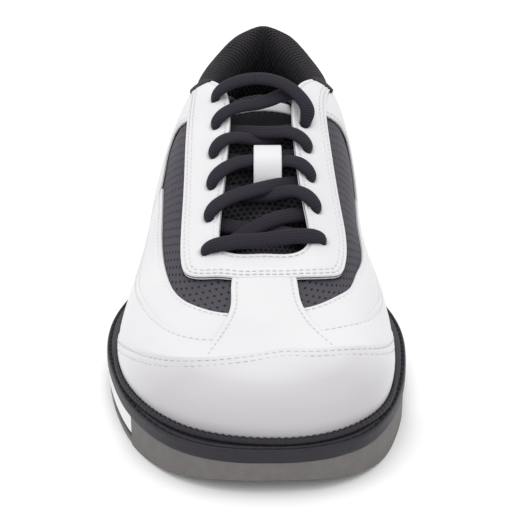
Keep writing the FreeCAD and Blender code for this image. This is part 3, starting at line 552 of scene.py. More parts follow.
M = {
    "leather": white_leather(), "cap": cap_leather_with_painted_shade(), "window": perforated(),
    "collar": mesh_fabric("collar_mesh", 0.0030, 0.0034, 0.0012, (0.002, 0.002, 0.003),
                          (0.026, 0.022, 0.031)),
    "tongue": mesh_fabric("tongue_mesh", 0.0026, 0.0040, 0.0013, (0.003, 0.003, 0.004),
                          (0.035, 0.031, 0.040)),
    "lining": woven("lining_knit", (0.02, 0.019, 0.022)),
    "binding": woven("binding_tape", (0.02, 0.018, 0.022)),
    "label": woven("label_tape", (0.012, 0.011, 0.013), 2600.0, 0.0002),
    "lace": braid(), "aglet": plain("aglet_plastic", (0.012, 0.012, 0.013), 0.25)[0],
    "welt": rubber("welt_rubber", (0.0165, 0.0145, 0.021), 0.5, 0.5),
    "heavy_thread": woven("welt_thread", (0.018, 0.016, 0.021), 2400.0, 0.0004),
    "thread": woven("seam_thread", (0.59, 0.57, 0.61), 3000.0, 0.0001),
    "white_rubber": rubber("midsole_rubber", (0.76, 0.76, 0.77), 0.5, 0.08, 0.01),
    "grey_rubber": rubber("sole_rubber", (0.150, 0.141, 0.138), 0.75, 0.5),
    "hooks": woven("hook_tape", (0.035, 0.035, 0.037), 900.0, 0.0006),
    "loops": woven("loop_tape", (0.05, 0.05, 0.053), 700.0, 0.0006),
    "foam": rubber("open_foam", (0.035, 0.034, 0.036), 0.9, 0.6), "board": fibre_board(), "cork": cork(),
    "insole": woven("insole_board_black", (0.03, 0.028, 0.03), 900.0), "steel": steel(),
    "insock": woven("footbed_knit", (0.03, 0.03, 0.033), 1100.0, 0.0004),
}
NODE_MATERIALS = {
    "toe_piece": "grey_rubber", "traction_pad": "grey_rubber", "heel_pad": "grey_rubber",
    "traction_pad_hooks": "hooks", "heel_pad_hooks": "hooks", "forefoot_loops": "loops",
    "heel_loops": "loops", "midsole": "white_rubber", "shank": "steel", "filler": "cork",
    "insole_board": "insole", "footbed": "foam", "toe_puff": "board", "heel_counter": "board",
    "collar_padding": "foam", "tongue_foam": "foam", "eyestay_tape": "board", "lace_aglets": "aglet",
}
for part, key in NODE_MATERIALS.items():
    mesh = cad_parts[part].data
    mesh.materials.clear()
    mesh.materials.append(M[key])


# ---- sole
SOLE_OUTLINE = [(3, -150), (-13, -148.3), (-28, -141), (-39, -129), (-47.5, -114), (-54, -96), (-59, -76),
                (-61, -55), (-59.5, -33), (-53, -3), (-45, 32), (-38, 66), (-32.5, 100), (-26, 128),
                (-14, 145), (4, 151), (22, 145), (34.5, 128), (39.5, 100), (39.5, 66), (42.5, 32),
                (50.5, -3), (58, -33), (60.5, -57), (59, -79), (55, -102), (48.5, -122), (40, -136.5),
                (30, -144.5), (17, -149)]
WELT_BOTTOM, WELT_TOP = 11.5, 16.5
HEEL_RISE, RISE_START, RISE_END = 9.0, -25.0, 95.0


def rise(y):
    """Height that the heel lift adds at y."""
    part = np.clip((y - RISE_START) / (RISE_END - RISE_START), 0, 1)
    return HEEL_RISE * part * part * (3 - 2 * part)


def even_ring(points, step):
    """Closed line of points resampled at even steps, with its outward side seen from above."""
    closed = np.concatenate([points, points[:1]])
    run = run_length(closed)
    places = np.linspace(0, run[-1], int(run[-1] / step), endpoint=False)
    line = along_line(places, run, closed)
    along = unit(np.roll(line, -1, 0)[:, :2] - np.roll(line, 1, 0)[:, :2])
    return line, np.stack([-along[:, 1], along[:, 0]], 1), places


def sole_line(step):
    """The edge of the welt, its outward side and its running length."""
    fine = cubic(SOLE_OUTLINE, ring=True)(np.linspace(0, len(SOLE_OUTLINE), 3000, endpoint=False))
    return even_ring(fine, step)


def ring_sweep(name, line, outward, places, profile, material, slot, node_name=None):
    """Closed sweep: profile(y) gives (outward shift, z without the heel lift) pairs per station."""
    shape = profile(line[:, 1])
    points = np.empty(shape.shape[:2] + (3,))
    points[..., :2] = line[:, None, :2] + outward[:, None] * shape[..., :1]
    points[..., 2] = shape[..., 1] + rise(line[:, 1])[:, None]
    around = np.cumsum(np.linalg.norm(np.diff(shape[0], axis=0, prepend=shape[0][:1]), axis=1))
    uvs = np.stack(np.broadcast_arrays(places[:, None], around[None]), -1) * MM
    rows, cols = shape.shape[:2]
    faces = grid_faces(rows, cols, ring_rows=True, ring_cols=True, flip=True)
    obj = new_object(name, points.reshape(-1, 3), faces, material, uvs=uvs.reshape(-1, 2), slot=slot)
    if node_name:
        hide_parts(node_name)


STITCHED_END = 0.0


def groove_share(y):
    """1 where the welt is stitched, 0 behind."""
    return 1 / (1 + np.exp((y - STITCHED_END + 3) / 1.2))


def welt():
    """Dark strip all around with a groove for the heavy stitching."""
    line, outward, places = sole_line(1.2)

    def profile(y):
        deep = groove_share(y)[:, None]
        flat = np.zeros_like(deep)
        stations = [(-9, 0, 0), (-1.5, 0, 0), (-0.3, 0.05, 0), (-0.05, 0.5, 0), (0, 1.4, 0), (-0.12, 2.5, 0),
                    (-0.05, 3.6, 0), (-0.1, 4.4, 0), (-0.35, 4.85, 0), (-0.75, 5, 0), (-0.95, 4.9, 0.35),
                    (-1.1, 4.85, 0.9), (-1.5, 4.85, 1), (-1.75, 4.9, 0.6), (-1.95, 5, 0), (-2.6, 5.05, 0),
                    (-9, 5, 0)]
        rows = [np.concatenate([flat + side, WELT_BOTTOM + up - groove * deep], 1)
                for side, up, groove in stations]
        return np.stack(rows, 1)
    ring_sweep("welt_strip", line, outward, places, profile, M["welt"], "black_welt", "welt")


def lasting_allowance():
    """Foot of the linings, folded flat between the upper and the insole board."""
    line, outward, places = sole_line(4.0)

    def profile(y):
        flat = np.zeros((len(y), 1))
        corners = [(-12.6, 0.2), (-8.0, 0.2), (-8.0, 0.55), (-12.6, 0.55)]
        return np.stack([np.concatenate([flat + side, flat + WELT_TOP + up], 1) for side, up in corners], 1)
    ring_sweep("lining_allowance", line, outward, places, profile, M["lining"], "black_lining")


def welt_stitches():
    """Heavy lockstitches lying in the welt's groove."""
    line, outward, _ = sole_line(1.0)
    keep = line[:, 1] < STITCHED_END - 4
    first = int(np.argmax(~keep))
    order = np.roll(np.arange(len(line)), -first)
    order = order[keep[order]]
    height = rise(line[order, 1:2]) + WELT_TOP - 0.35
    points = np.concatenate([line[order] - outward[order] * 1.3, height], 1)
    ups = np.tile([0.0, 0.0, 1.0], (len(points), 1))
    obj = add_stitches("welt_lockstitch", points, ups, M["heavy_thread"], pitch=4.0, length=3.9, radius=0.62,
                       slot="black_thread")
    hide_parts("welt_stitching")


def welt_bead():
    """Storm bead with crosswise ribs against the foot of the upper."""
    step, rib_pitch, middle = 0.3, 2.3, 2.1
    t = np.linspace(0, RING, 800, endpoint=False)
    line, outward, _ = even_ring(last_point(t, 0.02), step)
    keep = np.where(line[:, 1] < STITCHED_END)[0]
    first = int(np.argmax(np.diff(keep))) + 1 if np.any(np.diff(keep) > 1) else 0
    keep = np.roll(keep, -first)
    line, outward, run = line[keep], outward[keep], np.arange(len(keep)) * step
    ribs = 0.5 + 0.5 * np.cos(2 * math.pi * run / rib_pitch)
    ends = np.clip(np.minimum(run, run[-1] - run) / 6, 0, 1)
    angles = np.linspace(math.pi, 0, 10)
    high = (2.0 + 0.55 * ribs) * ends
    wide = 1.15 + 0.2 * ribs
    points = np.empty((len(line), len(angles), 3))
    for k, angle in enumerate(angles):
        lean = middle + math.cos(angle) * wide
        points[:, k, :2] = line[:, :2] + outward * lean[:, None]
        points[:, k, 2] = WELT_TOP - 0.05 + rise(line[:, 1]) + math.sin(angle) ** 0.8 * high
    uvs = np.stack(np.broadcast_arrays(run[:, None], angles[None]), -1) * MM
    faces = grid_faces(len(line), len(angles), ring_cols=True)
    obj = new_object("welt_storm_bead", points.reshape(-1, 3), faces, M["welt"], uvs=uvs.reshape(-1, 2),
                     slot="black_welt")
    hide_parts("welt_bead")


def footbed_cover():
    """Knitted top cover of the footbed, soft at its rim."""
    line, outward, _ = sole_line(4.0)
    board_gap, board, body_gap, foam, glue = 0.15, 2.0, 0.35, 4.0, 0.05
    base = WELT_TOP + board_gap + board + body_gap + foam + glue
    shrinks = np.array([14.4, 14.45, 14.8, 15.6, 17.0, 20.0, 25.0, 31.0, 37.0])
    heights = np.array([0.0, 0.45, 0.75, 0.9, 0.95, 0.9, 0.85, 0.85, 0.85])
    middle = np.zeros((len(line), 2))
    middle[:, 0] = 3.5
    middle[:, 1] = np.clip(line[:, 1], -105, 112)
    rows = []
    for shrink, height in zip(shrinks, heights):
        rim = line - outward * shrinks[0]
        reach = np.linalg.norm(rim - middle, axis=1)
        place = middle + (rim - middle) * np.maximum(1 - (shrink - shrinks[0]) / reach, 0.02)[:, None]
        rows.append(np.concatenate([place, (base + height + rise(place[:, 1]))[:, None]], 1))
    rows.append(np.concatenate([middle, (base + 0.85 + rise(middle[:, 1]))[:, None]], 1))
    points = np.stack(rows)
    faces = grid_faces(len(rows), len(line), ring_cols=True)
    obj = new_object("footbed_top_cover", points.reshape(-1, 3), faces, M["insock"],
                     uvs=points[..., :2].reshape(-1, 2) * MM, slot="black_lining", body="footbed")
    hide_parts("footbed_cover")


# ---- upper: panel edges in (t, v)
FOOT = 0.0
CAP_EDGE = [(4.15, 0.045), (3.6, 0.13), (2.8, 0.25), (1.8, 0.35), (1.0, 0.43), (0.0, 0.485), (-0.6, 0.5),
            (-1.5, 0.45), (-2.4, 0.33), (-3.3, 0.19), (-4.15, 0.045)]
CAP_FOOT = [(t, FOOT) for t, _ in CAP_EDGE]
STAY_OUTER = [(6.62, 0.84), (5.7, 0.755), (4.9, 0.71), (4.0, 0.7), (3.3, 0.69), (2.9, 0.72), (2.4, 0.79),
              (1.4, 0.86), (0.0, 0.875), (-1.4, 0.86), (-2.4, 0.77), (-2.9, 0.68), (-3.3, 0.62), (-4.0, 0.61),
              (-4.9, 0.69), (-5.7, 0.8), (-6.6, 0.85)]
THROAT = [(t, 0.995) for t in (6.42, 5.7, 4.9, 4.0, 3.3, 2.7, 2.0, 1.2, 0.0, -1.2, -2.0, -2.7, -3.3, -4.0,
                               -4.9, -5.7, -6.42)]
LATERAL_EYELETS = [(3.1, 0.86), (3.78, 0.9), (4.37, 0.9), (4.9, 0.895), (5.35, 0.91), (5.84, 0.93)]
MEDIAL_EYELETS = [(-3.32, 0.82), (-3.9, 0.85), (-4.43, 0.875), (-4.9, 0.895), (-5.28, 0.92), (-5.72, 0.94)]
LOWER_SEAM = {1: [(0.8, 0.565), (1.9, 0.49), (2.5, 0.46), (3.3, 0.41), (4.0, 0.365), (5.42, 0.33)],
              -1: [(-1.15, 0.6), (-2.1, 0.52), (-2.8, 0.43), (-3.5, 0.34), (-4.1, 0.31), (-5.45, 0.3)]}
LOWER_FOOT = {1: [(0.8, 0.4), (1.9, 0.27), (2.8, 0.15), (3.6, 0.04), (4.3, FOOT), (5.42, FOOT)],
              -1: [(-1.0, 0.44), (-2.1, 0.32), (-2.8, 0.2), (-3.6, 0.05), (-4.3, FOOT), (-5.45, FOOT)]}
WINDOW_EDGE = {1: [(1.0, 0.695), (2.1, 0.65), (3.1, 0.6), (3.8, 0.56), (4.6, 0.53), (5.4, 0.52)],
               -1: [(-1.2, 0.715), (-2.4, 0.65), (-3.1, 0.56), (-3.6, 0.51), (-4.2, 0.45), (-5.7, 0.39)]}
MESH_FOOT = [(1.0, 0.62), (2.1, 0.57), (3.1, 0.5), (3.8, 0.45), (4.6, 0.42), (5.4, 0.38), (6.1, 0.42)]
MESH_TOP = {1: [(1.0, 0.9), (2.4, 0.86), (3.1, 0.8), (3.8, 0.76), (4.6, 0.75), (5.4, 0.78), (6.1, 0.8)],
            -1: [(-1.0, 0.9), (-2.4, 0.86), (-3.1, 0.78), (-3.8, 0.7), (-4.6, 0.72), (-5.4, 0.8),
                 (-6.1, 0.82)]}
SADDLE_FRONT = {1: [(5.34, FOOT), (5.34, 0.25), (5.4, 0.49), (5.95, 0.56), (6.12, 0.64), (5.9, 0.75),
                    (5.7, 0.82)],
                -1: [(-5.36, FOOT), (-5.38, 0.2), (-5.6, 0.38), (-6.05, 0.46), (-6.15, 0.6), (-5.85, 0.76),
                     (-5.7, 0.85)]}
SADDLE_REAR = [(9.4, v) for v in (FOOT, 0.15, 0.3, 0.45, 0.6, 0.72, 0.825)]
VAMP = {1: [(1.22, 0.4), (1.14, 0.5), (1.05, 0.6), (1.0, 0.72), (1.2, 0.82), (1.3, 0.9)],
        -1: [(-1.62, 0.4), (-1.5, 0.5), (-1.32, 0.62), (-1.2, 0.74), (-1.25, 0.82), (-1.3, 0.9)]}
LINING_TOP = -3.6
SIDES = {1: "lateral", -1: "medial"}


def mirrored(line, side):
    """An edge drawn for +t, on the lateral side (1) or the medial side (-1)."""
    return [(t * side, v) for t, v in line]


def raised(line, amount):
    """The same edge with every v moved."""
    return [(t, v + amount) for t, v in line]


def seam_path(line, distance, count=400):
    """(t, v) places beside an edge, a few millimetres to its left."""
    return inset_path(edge(line)(np.linspace(0.0, 1.0, count)), distance)


def trimmed(path, start, end):
    """The middle part of a path, between two fractions."""
    return path[int(len(path) * start):int(len(path) * end)]


def toe_cap():
    """One-piece toe cap with two rows of stitches along its rear edge."""
    panel("toe_cap_leather", CAP_FOOT, CAP_EDGE, TOP, M["cap"], "toe_cap", grooves=((1, 2.0), (1, 4.6)))
    for number, distance in enumerate((2.0, 4.6)):
        path = trimmed(seam_path(CAP_EDGE, distance), 0.02, 0.98)
        stitches(f"toe_cap_stitches_{number}", path, TOP + 1.12)


def vamp_center():
    """Hourglass panel between the toe cap and the eyestay."""
    panel("vamp_leather", VAMP[1], VAMP[-1], MID + 0.9, M["leather"], "vamp_center",
          grooves=((0, 2.2), (1, 2.2)))
    for side, name in SIDES.items():
        path = trimmed(seam_path(VAMP[side], 2.2 * side), 0.05, 0.9)
        stitches(f"vamp_stitches_{name}", path, MID + 2.0)


def side_panels(side):
    """Overlays, perforated window and rear quarter of one side."""
    name = SIDES[side]
    panel(f"lower_overlay_leather_{name}", LOWER_FOOT[side], LOWER_SEAM[side], MID + 0.7, M["leather"],
          f"lower_overlay_{name}", grooves=((1, 2.0),))
    panel(f"mid_overlay_leather_{name}", raised(LOWER_SEAM[side], -0.03), WINDOW_EDGE[side], MID,
          M["leather"], f"mid_overlay_{name}", grooves=((1, 1.8),))
    panel(f"perforated_leather_{name}", mirrored(MESH_FOOT, side), MESH_TOP[side], BASE, M["window"],
          f"perforated_quarter_{name}", puff=0.1, slot="black_perforated")
    panel(f"rear_quarter_leather_{name}", SADDLE_FRONT[side], mirrored(SADDLE_REAR, side), MID + 0.4,
          M["leather"], f"rear_quarter_{name}", step=2.4, grooves=((0, 2.2),))
    seams = (("lower_seam", LOWER_SEAM, 2.0, 1.76), ("window", WINDOW_EDGE, 1.8, 1.06),
             ("saddle", SADDLE_FRONT, 2.2, 1.46))
    for seam, line, distance, height in seams:
        path = seam_path(line[side], -distance * side)
        stitches(f"{seam}_stitches_{name}", path, MID + height)


def eyelets():
    """Centres of the eyelets on the outer face."""
    places = np.array(LATERAL_EYELETS + MEDIAL_EYELETS)
    return skin(places[:, 0], places[:, 1], np.full(len(places), 1.1))


def eyestay():
    """U-shaped eyestay dimpled at its eyelets, with two rows of stitches outside and one along the throat."""
    places, distances, uvs = surface_grid(STAY_OUTER, THROAT, 1.0)
    height = 0.15 + leather_height(distances, 0.2, ((0, 1.7), (0, 3.7), (1, 2.0)))
    t, v = places[..., 0], places[..., 1]
    top = skin(t, v, height)
    for centre in eyelets():
        near = np.linalg.norm(top - centre, axis=-1)
        height = height - 1.7 * np.exp(-(near / 2.3) ** 4) - 0.25 * np.exp(-(near / 4.0) ** 2)
    under = skin(t, v, np.minimum(height - 0.6, -0.5))
    obj = slab_mesh("eyestay_leather", skin(t, v, height), under, M["leather"], uvs, slot="white_leather")
    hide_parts("eyestay", "eyestay_tape")
    for number, distance in enumerate((1.7, 3.7)):
        stitches(f"eyestay_stitches_{number}", seam_path(STAY_OUTER, -distance, 700), 1.3)
    stitches("throat_stitches", seam_path(THROAT, 2.0, 700), 1.3)


def back_of_heel():
    """Heel cover, back strip and pull tab."""
    foot = [(t, FOOT) for t in (8.0, 8.6, 9.3, 10.0, 10.7, 11.4, 12.0)]
    top = [(8.0, 0.12), (8.6, 0.33), (9.3, 0.43), (10.0, 0.46), (10.7, 0.43), (11.4, 0.33), (12.0, 0.12)]
    panel("heel_cover_leather", foot, top, TOP + 0.1, M["leather"], "heel_cover",
          grooves=((1, 2.0), (1, 4.6)))
    for number, distance in enumerate((2.0, 4.6)):
        path = trimmed(seam_path(top, -distance), 0.03, 0.97)
        stitches(f"heel_cover_stitches_{number}", path, 1.2)
    low = [(9.2, FOOT), (10.0, FOOT), (10.8, FOOT)]
    high = [(9.2, 0.82), (10.0, 0.82), (10.8, 0.82)]
    panel("back_strip_leather", low, high, BASE + 0.55, M["window"], "back_strip", slot="black_perforated")
    low = [(9.72, 0.47), (9.86, 0.47), (10.0, 0.47), (10.14, 0.47), (10.28, 0.47)]
    high = [(9.72, 0.86), (9.86, 0.865), (10.0, 0.87), (10.14, 0.865), (10.28, 0.86)]
    panel("back_tab_leather", low, high, TOP - 0.1, M["leather"], "back_tab", grooves=((2, 1.8), (3, 1.8)))


def linings():
    """Knitted linings of the vamp and quarters."""
    vamp_foot = [(t, 0.03) for t in (5.3, 4.0, 2.8, 1.5, 0.0, -1.5, -2.8, -4.0, -5.3)]
    vamp_top = [(5.3, 0.8), (4.0, 0.78), (2.8, 0.8), (1.5, 0.88), (0.0, 0.92), (-1.5, 0.88), (-2.8, 0.76),
                (-4.0, 0.72), (-5.3, 0.82)]
    panel("vamp_lining_knit", vamp_foot, vamp_top, LINING_TOP, M["lining"], "vamp_lining", step=3.0, puff=0.0,
          slot="black_lining")
    for side, name in SIDES.items():
        foot = mirrored([(t, 0.03) for t in (5.3, 5.9, 6.4, 7.0, 8.0, 10.03)], side)
        top = mirrored([(5.3, 0.8), (5.9, 0.8), (6.4, 0.7), (7.0, 0.5), (8.0, 0.48), (10.03, 0.48)], side)
        panel(f"quarter_lining_knit_{name}", foot, top, LINING_TOP, M["lining"], f"quarter_lining_{name}",
              step=3.0, puff=0.0, slot="black_lining")


# ---- collar and tongue
SETTLE_FRAMES = 20
SETTLE_CAP = 1.4


def settle(obj, held):
    """Fills a padded cover with a little pressure in the cloth simulation; held vertices stay in place."""
    rest = np.zeros(len(obj.data.vertices) * 3)
    obj.data.vertices.foreach_get("co", rest)
    group = obj.vertex_groups.new(name="sewn")
    group.add([int(i) for i in np.where(held)[0]], 1.0, "REPLACE")
    cloth = obj.modifiers.new("cover", "CLOTH")
    settings = {"quality": 6, "mass": 0.25, "tension_stiffness": 5, "compression_stiffness": 3,
                "shear_stiffness": 1, "bending_stiffness": 0.1, "use_pressure": True,
                "uniform_pressure_force": 4, "vertex_group_mass": "sewn"}
    for key, value in settings.items():
        setattr(cloth.settings, key, value)
    cloth.settings.effector_weights.gravity = 0
    cloth.collision_settings.use_collision = False
    cloth.point_cache.frame_start = 1
    cloth.point_cache.frame_end = SETTLE_FRAMES
    for number in range(1, SETTLE_FRAMES + 1):
        bpy.context.scene.frame_set(number)
    graph = bpy.context.evaluated_depsgraph_get()
    filled = np.zeros(len(rest))
    obj.evaluated_get(graph).data.vertices.foreach_get("co", filled)
    obj.modifiers.remove(cloth)
    bpy.context.scene.frame_set(1)
    change = (filled - rest).reshape(-1, 3)
    size = np.linalg.norm(change, axis=1, keepdims=True)
    change *= np.minimum(1, SETTLE_CAP * MM / np.maximum(size, 1e-9))
    obj.data.vertices.foreach_set("co", rest + change.ravel())
    obj.data.update()


COLLAR_START = 6.62
# Section of the roll from its outer seam to its inner one: (v, height above the last surface).
COLLAR_SECTION = [(0.835, -1.7), (0.86, -0.75), (0.905, -0.2), (0.95, -0.35), (0.985, -1.3), (1.0, -3.2),
                  (0.995, -5.6), (0.965, -7.9), (0.9, -9.4), (0.8, -9.9), (0.68, -9.3), (0.57, -7.4),
                  (0.48, -5.2), (0.44, -4.2)]


def collar():
    """Padded mesh roll from the outer seam over the topline and down inside the ankle."""
    t = np.linspace(COLLAR_START, RING - COLLAR_START, 150)
    section = cubic(COLLAR_SECTION)(np.linspace(0, len(COLLAR_SECTION) - 1, 46))
    ends = np.clip(np.minimum(t - t[0], t[-1] - t) / 0.35, 0, 1)
    ends = (1 - (1 - ends) ** 2)[:, None]
    height = -2.2 + (section[None, :, 1] + 2.2) * (0.45 + 0.55 * ends)
    upper_half = np.clip((section[None, :, 0] - 0.8) / 0.2, 0, 1)
    away = abs(t - HEEL)
    round_heel = 0.7 * np.exp(-(away / 0.8) ** 2) + np.exp(-((away - 1.3) / 0.8) ** 2)
    round_heel = round_heel[:, None] * upper_half
    level = section[None, :, 0] + 0.075 * round_heel
    height = height + 2.0 * round_heel
    points = skin(t[:, None] + 0 * height, level, height)
    rows, cols = points.shape[:2]
    run_a = np.cumsum(np.linalg.norm(np.diff(points, axis=0, prepend=points[:1]), axis=2), 0)
    run_b = np.cumsum(np.linalg.norm(np.diff(points, axis=1, prepend=points[:, :1]), axis=2), 1)
    back = skin(t[:, None] + 0 * height, section[None, :, 0] + 0 * height, 0 * height - 3.2)
    uvs = np.stack([np.broadcast_to(run_a[:, :1], run_a.shape), run_b], -1) * MM
    obj = slab_mesh("collar_padded_mesh", points, back, M["collar"], uvs, slot="black_mesh")
    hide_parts("collar_cover", "collar_lining", "collar_padding")
    held = np.ones((2, rows, cols), bool)
    held[0, 2:-2, 3:-3] = False
    settle(obj, held.ravel())


def collar_binding():
    """Narrow bindings where the eyestay meets the collar."""
    for side, name in SIDES.items():
        front = mirrored([(6.6, 0.825), (6.53, 0.88), (6.46, 0.94), (6.38, 1.0)], side)
        rear = mirrored([(6.80, 0.825), (6.74, 0.88), (6.67, 0.94), (6.58, 1.0)], side)
        panel(f"collar_binding_{name}", front, rear, TOP + 0.5, M["binding"], f"collar_piping_{name}",
              step=0.8, slot="black_binding")


# Rows of the tongue: (y, z, smallest x, largest x, drop of its borders).
TONGUE = [(-66, 45.0, -13, 19, 1.0), (-45, 54.0, -20, 26, 3.5), (-20, 68.0, -24, 30, 6.0),
          (5, 82.5, -25, 31, 7.0), (22, 91.5, -25, 31, 8.0), (33, 97.5, -20, 26, 8.5)]
TONGUE_IN = np.array([0, 0.5, -0.866])


def tongue_point(row, part, depth):
    """Point of the tongue: row along it, part from -1 to 1 across it, depth below its outer face."""
    y, z, x0, x1, drop = np.moveaxis(cubic(TONGUE)(row), -1, 0)
    return (np.stack(np.broadcast_arrays((x0 + x1) / 2 + part * (x1 - x0) / 2, y, z - drop * part ** 2), -1)
            + TONGUE_IN * np.asarray(depth)[..., None])


def tongue_piece(name, start, end, wide, depth, thick, material, nodes, slot, puff=0.5):
    """Stitched-down or padded sheet of the tongue between two rows."""
    rows = start + (end - start) * spread((end - start) * 20.0, 1.0)
    parts = wide * (2 * spread(wide * 50.0, 1.0) - 1)
    row, part = np.meshgrid(rows, parts, indexing="ij")
    border = np.minimum(np.minimum(row - start, end - row) * 20.0, (wide - abs(part)) * 25.0)
    rounding = np.clip(1 - border / min(1.2, thick), 0, 1)
    lift = -min(1.2, thick * 0.5) * (1 - np.sqrt(1 - rounding ** 2)) + puff * (1 - np.exp(-border / 3.0))
    top = tongue_point(row, part, depth - lift)
    uvs = np.stack([part * 25.0, row * 22.0], -1) * MM
    obj = slab_mesh(name, top, tongue_point(row, part, depth + thick + 0 * lift), material, uvs, slot=slot)
    if nodes:
        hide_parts(*nodes)
    return obj, top.shape[:2]


def tongue():
    """Padded mesh tongue with a leather top, a plain label patch and a woven lining."""
    obj, shape = tongue_piece("tongue_padded_mesh", 0, 5, 1.0, 0.0, 4.6, M["tongue"],
                              ("tongue_mesh", "tongue_foam"), "black_mesh")
    held = np.ones((2, *shape), bool)
    held[0, 4:-4, 4:-4] = False
    settle(obj, held.ravel())
    tongue_piece("tongue_lining_knit", 0.03, 4.97, 0.98, 4.7, 0.8, M["lining"], ("tongue_lining",),
                 "black_lining", 0.0)
    tongue_piece("tongue_top_leather", 3.98, 4.5, 0.5, -1.1, 1.0, M["leather"], (), "white_leather", 0.3)
    tongue_piece("tongue_label", 3.05, 3.9, 0.62, -0.9, 0.7, M["label"], (), "black_lining", 0.1)


def lace_keeper():
    """White strap sewn to the tongue at both ends, open from side to side."""
    x0, x1 = -1.0, 11.0
    spine = cubic([(-25.5, 1.0), (-23.8, 1.4), (-22.2, 4.6), (-20.4, 8.8), (-17.0, 10.7), (-12.6, 10.4),
                   (-9.4, 8.8), (-7.6, 5.0), (-6.2, 1.3), (-4.0, 0.9)])
    places = spine(np.linspace(0, 9, 60))
    height = np.interp(places[:, 0], [row[0] for row in TONGUE], [row[1] for row in TONGUE])
    across = x0 + (x1 - x0) * spread(x1 - x0, 1.2)
    line = np.stack([places[:, 0], height + places[:, 1]], 1)
    along = unit(np.gradient(line, axis=0))
    out = np.stack([-along[:, 1], along[:, 0]], 1)
    rim = np.minimum(across - x0, x1 - across)
    soft = 0.35 * np.clip(1 - rim / 0.5, 0, 1) ** 2
    top = np.empty((len(line), len(across), 3))
    under = np.empty_like(top)
    for grid, shift in ((top, 0.55 - soft), (under, -0.55 + soft)):
        grid[..., 0] = across
        grid[..., 1:] = line[:, None] + out[:, None] * shift[None, :, None]
    obj = slab_mesh("lace_keeper_strap", top, under, M["leather"], slot="white_leather")
    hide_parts("lace_keeper")


# ---- lace
LACE_ROUTE = [
    (-8.5, 51, 62), (-9, 48.5, 78), (-12.5, 42, 91), (-15, 33, 95.5), (-17.4, 20.7, 94.3),
    (-19.6, 18.6, 99.7), (-11, 17.5, 106.3), (3.3, 18, 108.3), (15.5, 13.5, 105), (23.3, 6, 97.5),
    (22.4, 3.2, 91.4), (20.6, 6.4, 86.5), (13, 4.5, 86.8), (3.3, 0.2, 82.6), (-12, -7.4, 87.6),
    (-19.4, -12.8, 81.6), (-17.8, -9.5, 76.6), (-10.5, -11, 77.6), (3.3, -13.5, 74.8), (16.5, -19, 80.3),
    (24.7, -23.3, 73.9), (22.2, -20.6, 69), (15, -22.5, 70.4), (3.3, -28.8, 70.2), (-13, -38.4, 68.3),
    (-20.2, -44, 63.1), (-18.5, -41.2, 57.8), (-11.5, -43, 57.6), (3.3, -45.6, 56.3), (18, -49, 55.8),
    (25.4, -53.7, 52.2), (27.7, -55.8, 57.5), (17, -58.5, 59.2), (3.3, -59.5, 57.4), (-10, -60.8, 57.2),
    (-20.8, -61, 54.8), (-19.6, -58.6, 49.3), (-13, -54, 52.4), (3.3, -45.4, 60.4), (16, -39.5, 61.8),
    (23.5, -37, 60), (26.2, -39.3, 65.1), (17.5, -34.6, 71.6), (3.3, -28.9, 65.9), (-10.5, -26.3, 67.6),
    (-18, -25.1, 66.9), (-19.7, -28.1, 72.1), (-12, -21.8, 78.4), (3.3, -13.4, 79), (14, -9.6, 78.6),
    (21.6, -5.7, 78.1), (23.7, -8.9, 83), (16, -4.8, 88.9), (3.3, 0.2, 86.8), (-9.5, 3, 86.8),
    (-17.1, 4.6, 86), (-18.8, 1.5, 91.1), (-11, 6.5, 96.8), (3.3, 12, 97.4), (13.5, 16, 101.5),
    (22.5, 17.7, 99.7), (20.4, 20.2, 94.5), (17, 33, 95.6), (16, 43, 91.5), (15, 49, 79),
    (15, 51.5, 62),
]
LACE_WIDTH, LACE_THICKNESS = 7.2, 3.1
KEEPER_MIDDLE = (5.0, -13.5, 77.0)


def lace_line(step):
    """Quadratic B-spline of the route, resampled at even steps."""
    route = np.array(LACE_ROUTE, float)
    middles = (route[2:-1] + route[1:-2]) / 2
    starts = np.concatenate([route[:1], middles])[:, None]
    ends = np.concatenate([middles, route[-1:]])[:, None]
    part = np.linspace(0, 1, 30, endpoint=False)[None, :, None]
    fine = (1 - part) ** 2 * starts + 2 * part * (1 - part) * route[1:-1, None] + part ** 2 * ends
    fine = np.concatenate([fine.reshape(-1, 3), route[-1:]])
    run = run_length(fine)
    places = np.linspace(0, run[-1], int(run[-1] / step))
    return along_line(places, run, fine), places


def lace_frames(line):
    """Across and through directions of the flat lace, turned smoothly so that it lies on the eyestay."""
    along = unit(np.gradient(line, axis=0))
    lean = np.stack([line[:, 0] * 0.018 - 0.05, np.full(len(line), -0.5), np.full(len(line), 0.84)], 1)
    lean = unit(lean)
    across = np.empty_like(line)
    across[0] = unit(np.cross(along[0], [0.3, 1.0, 0.2]))
    for i in range(1, len(line)):
        carried = across[i - 1] - along[i] * (across[i - 1] @ along[i])
        across[i] = carried / np.linalg.norm(carried)
    through = np.cross(along, across)
    wanted = np.cross(lean, along)
    trust = np.linalg.norm(wanted, axis=1) ** 3
    angle = np.arctan2((wanted * through).sum(1), (wanted * across).sum(1))
    doubled = np.stack([np.cos(2 * angle), np.sin(2 * angle)], 1) * trust[:, None]
    window = np.hanning(17)
    smooth = np.stack([np.convolve(doubled[:, k], window, "same") for k in (0, 1)], 1)
    turn = np.unwrap(np.arctan2(smooth[:, 1], smooth[:, 0])) / 2
    turned = across * np.cos(turn)[:, None] + through * np.sin(turn)[:, None]
    return turned, np.cross(along, turned)


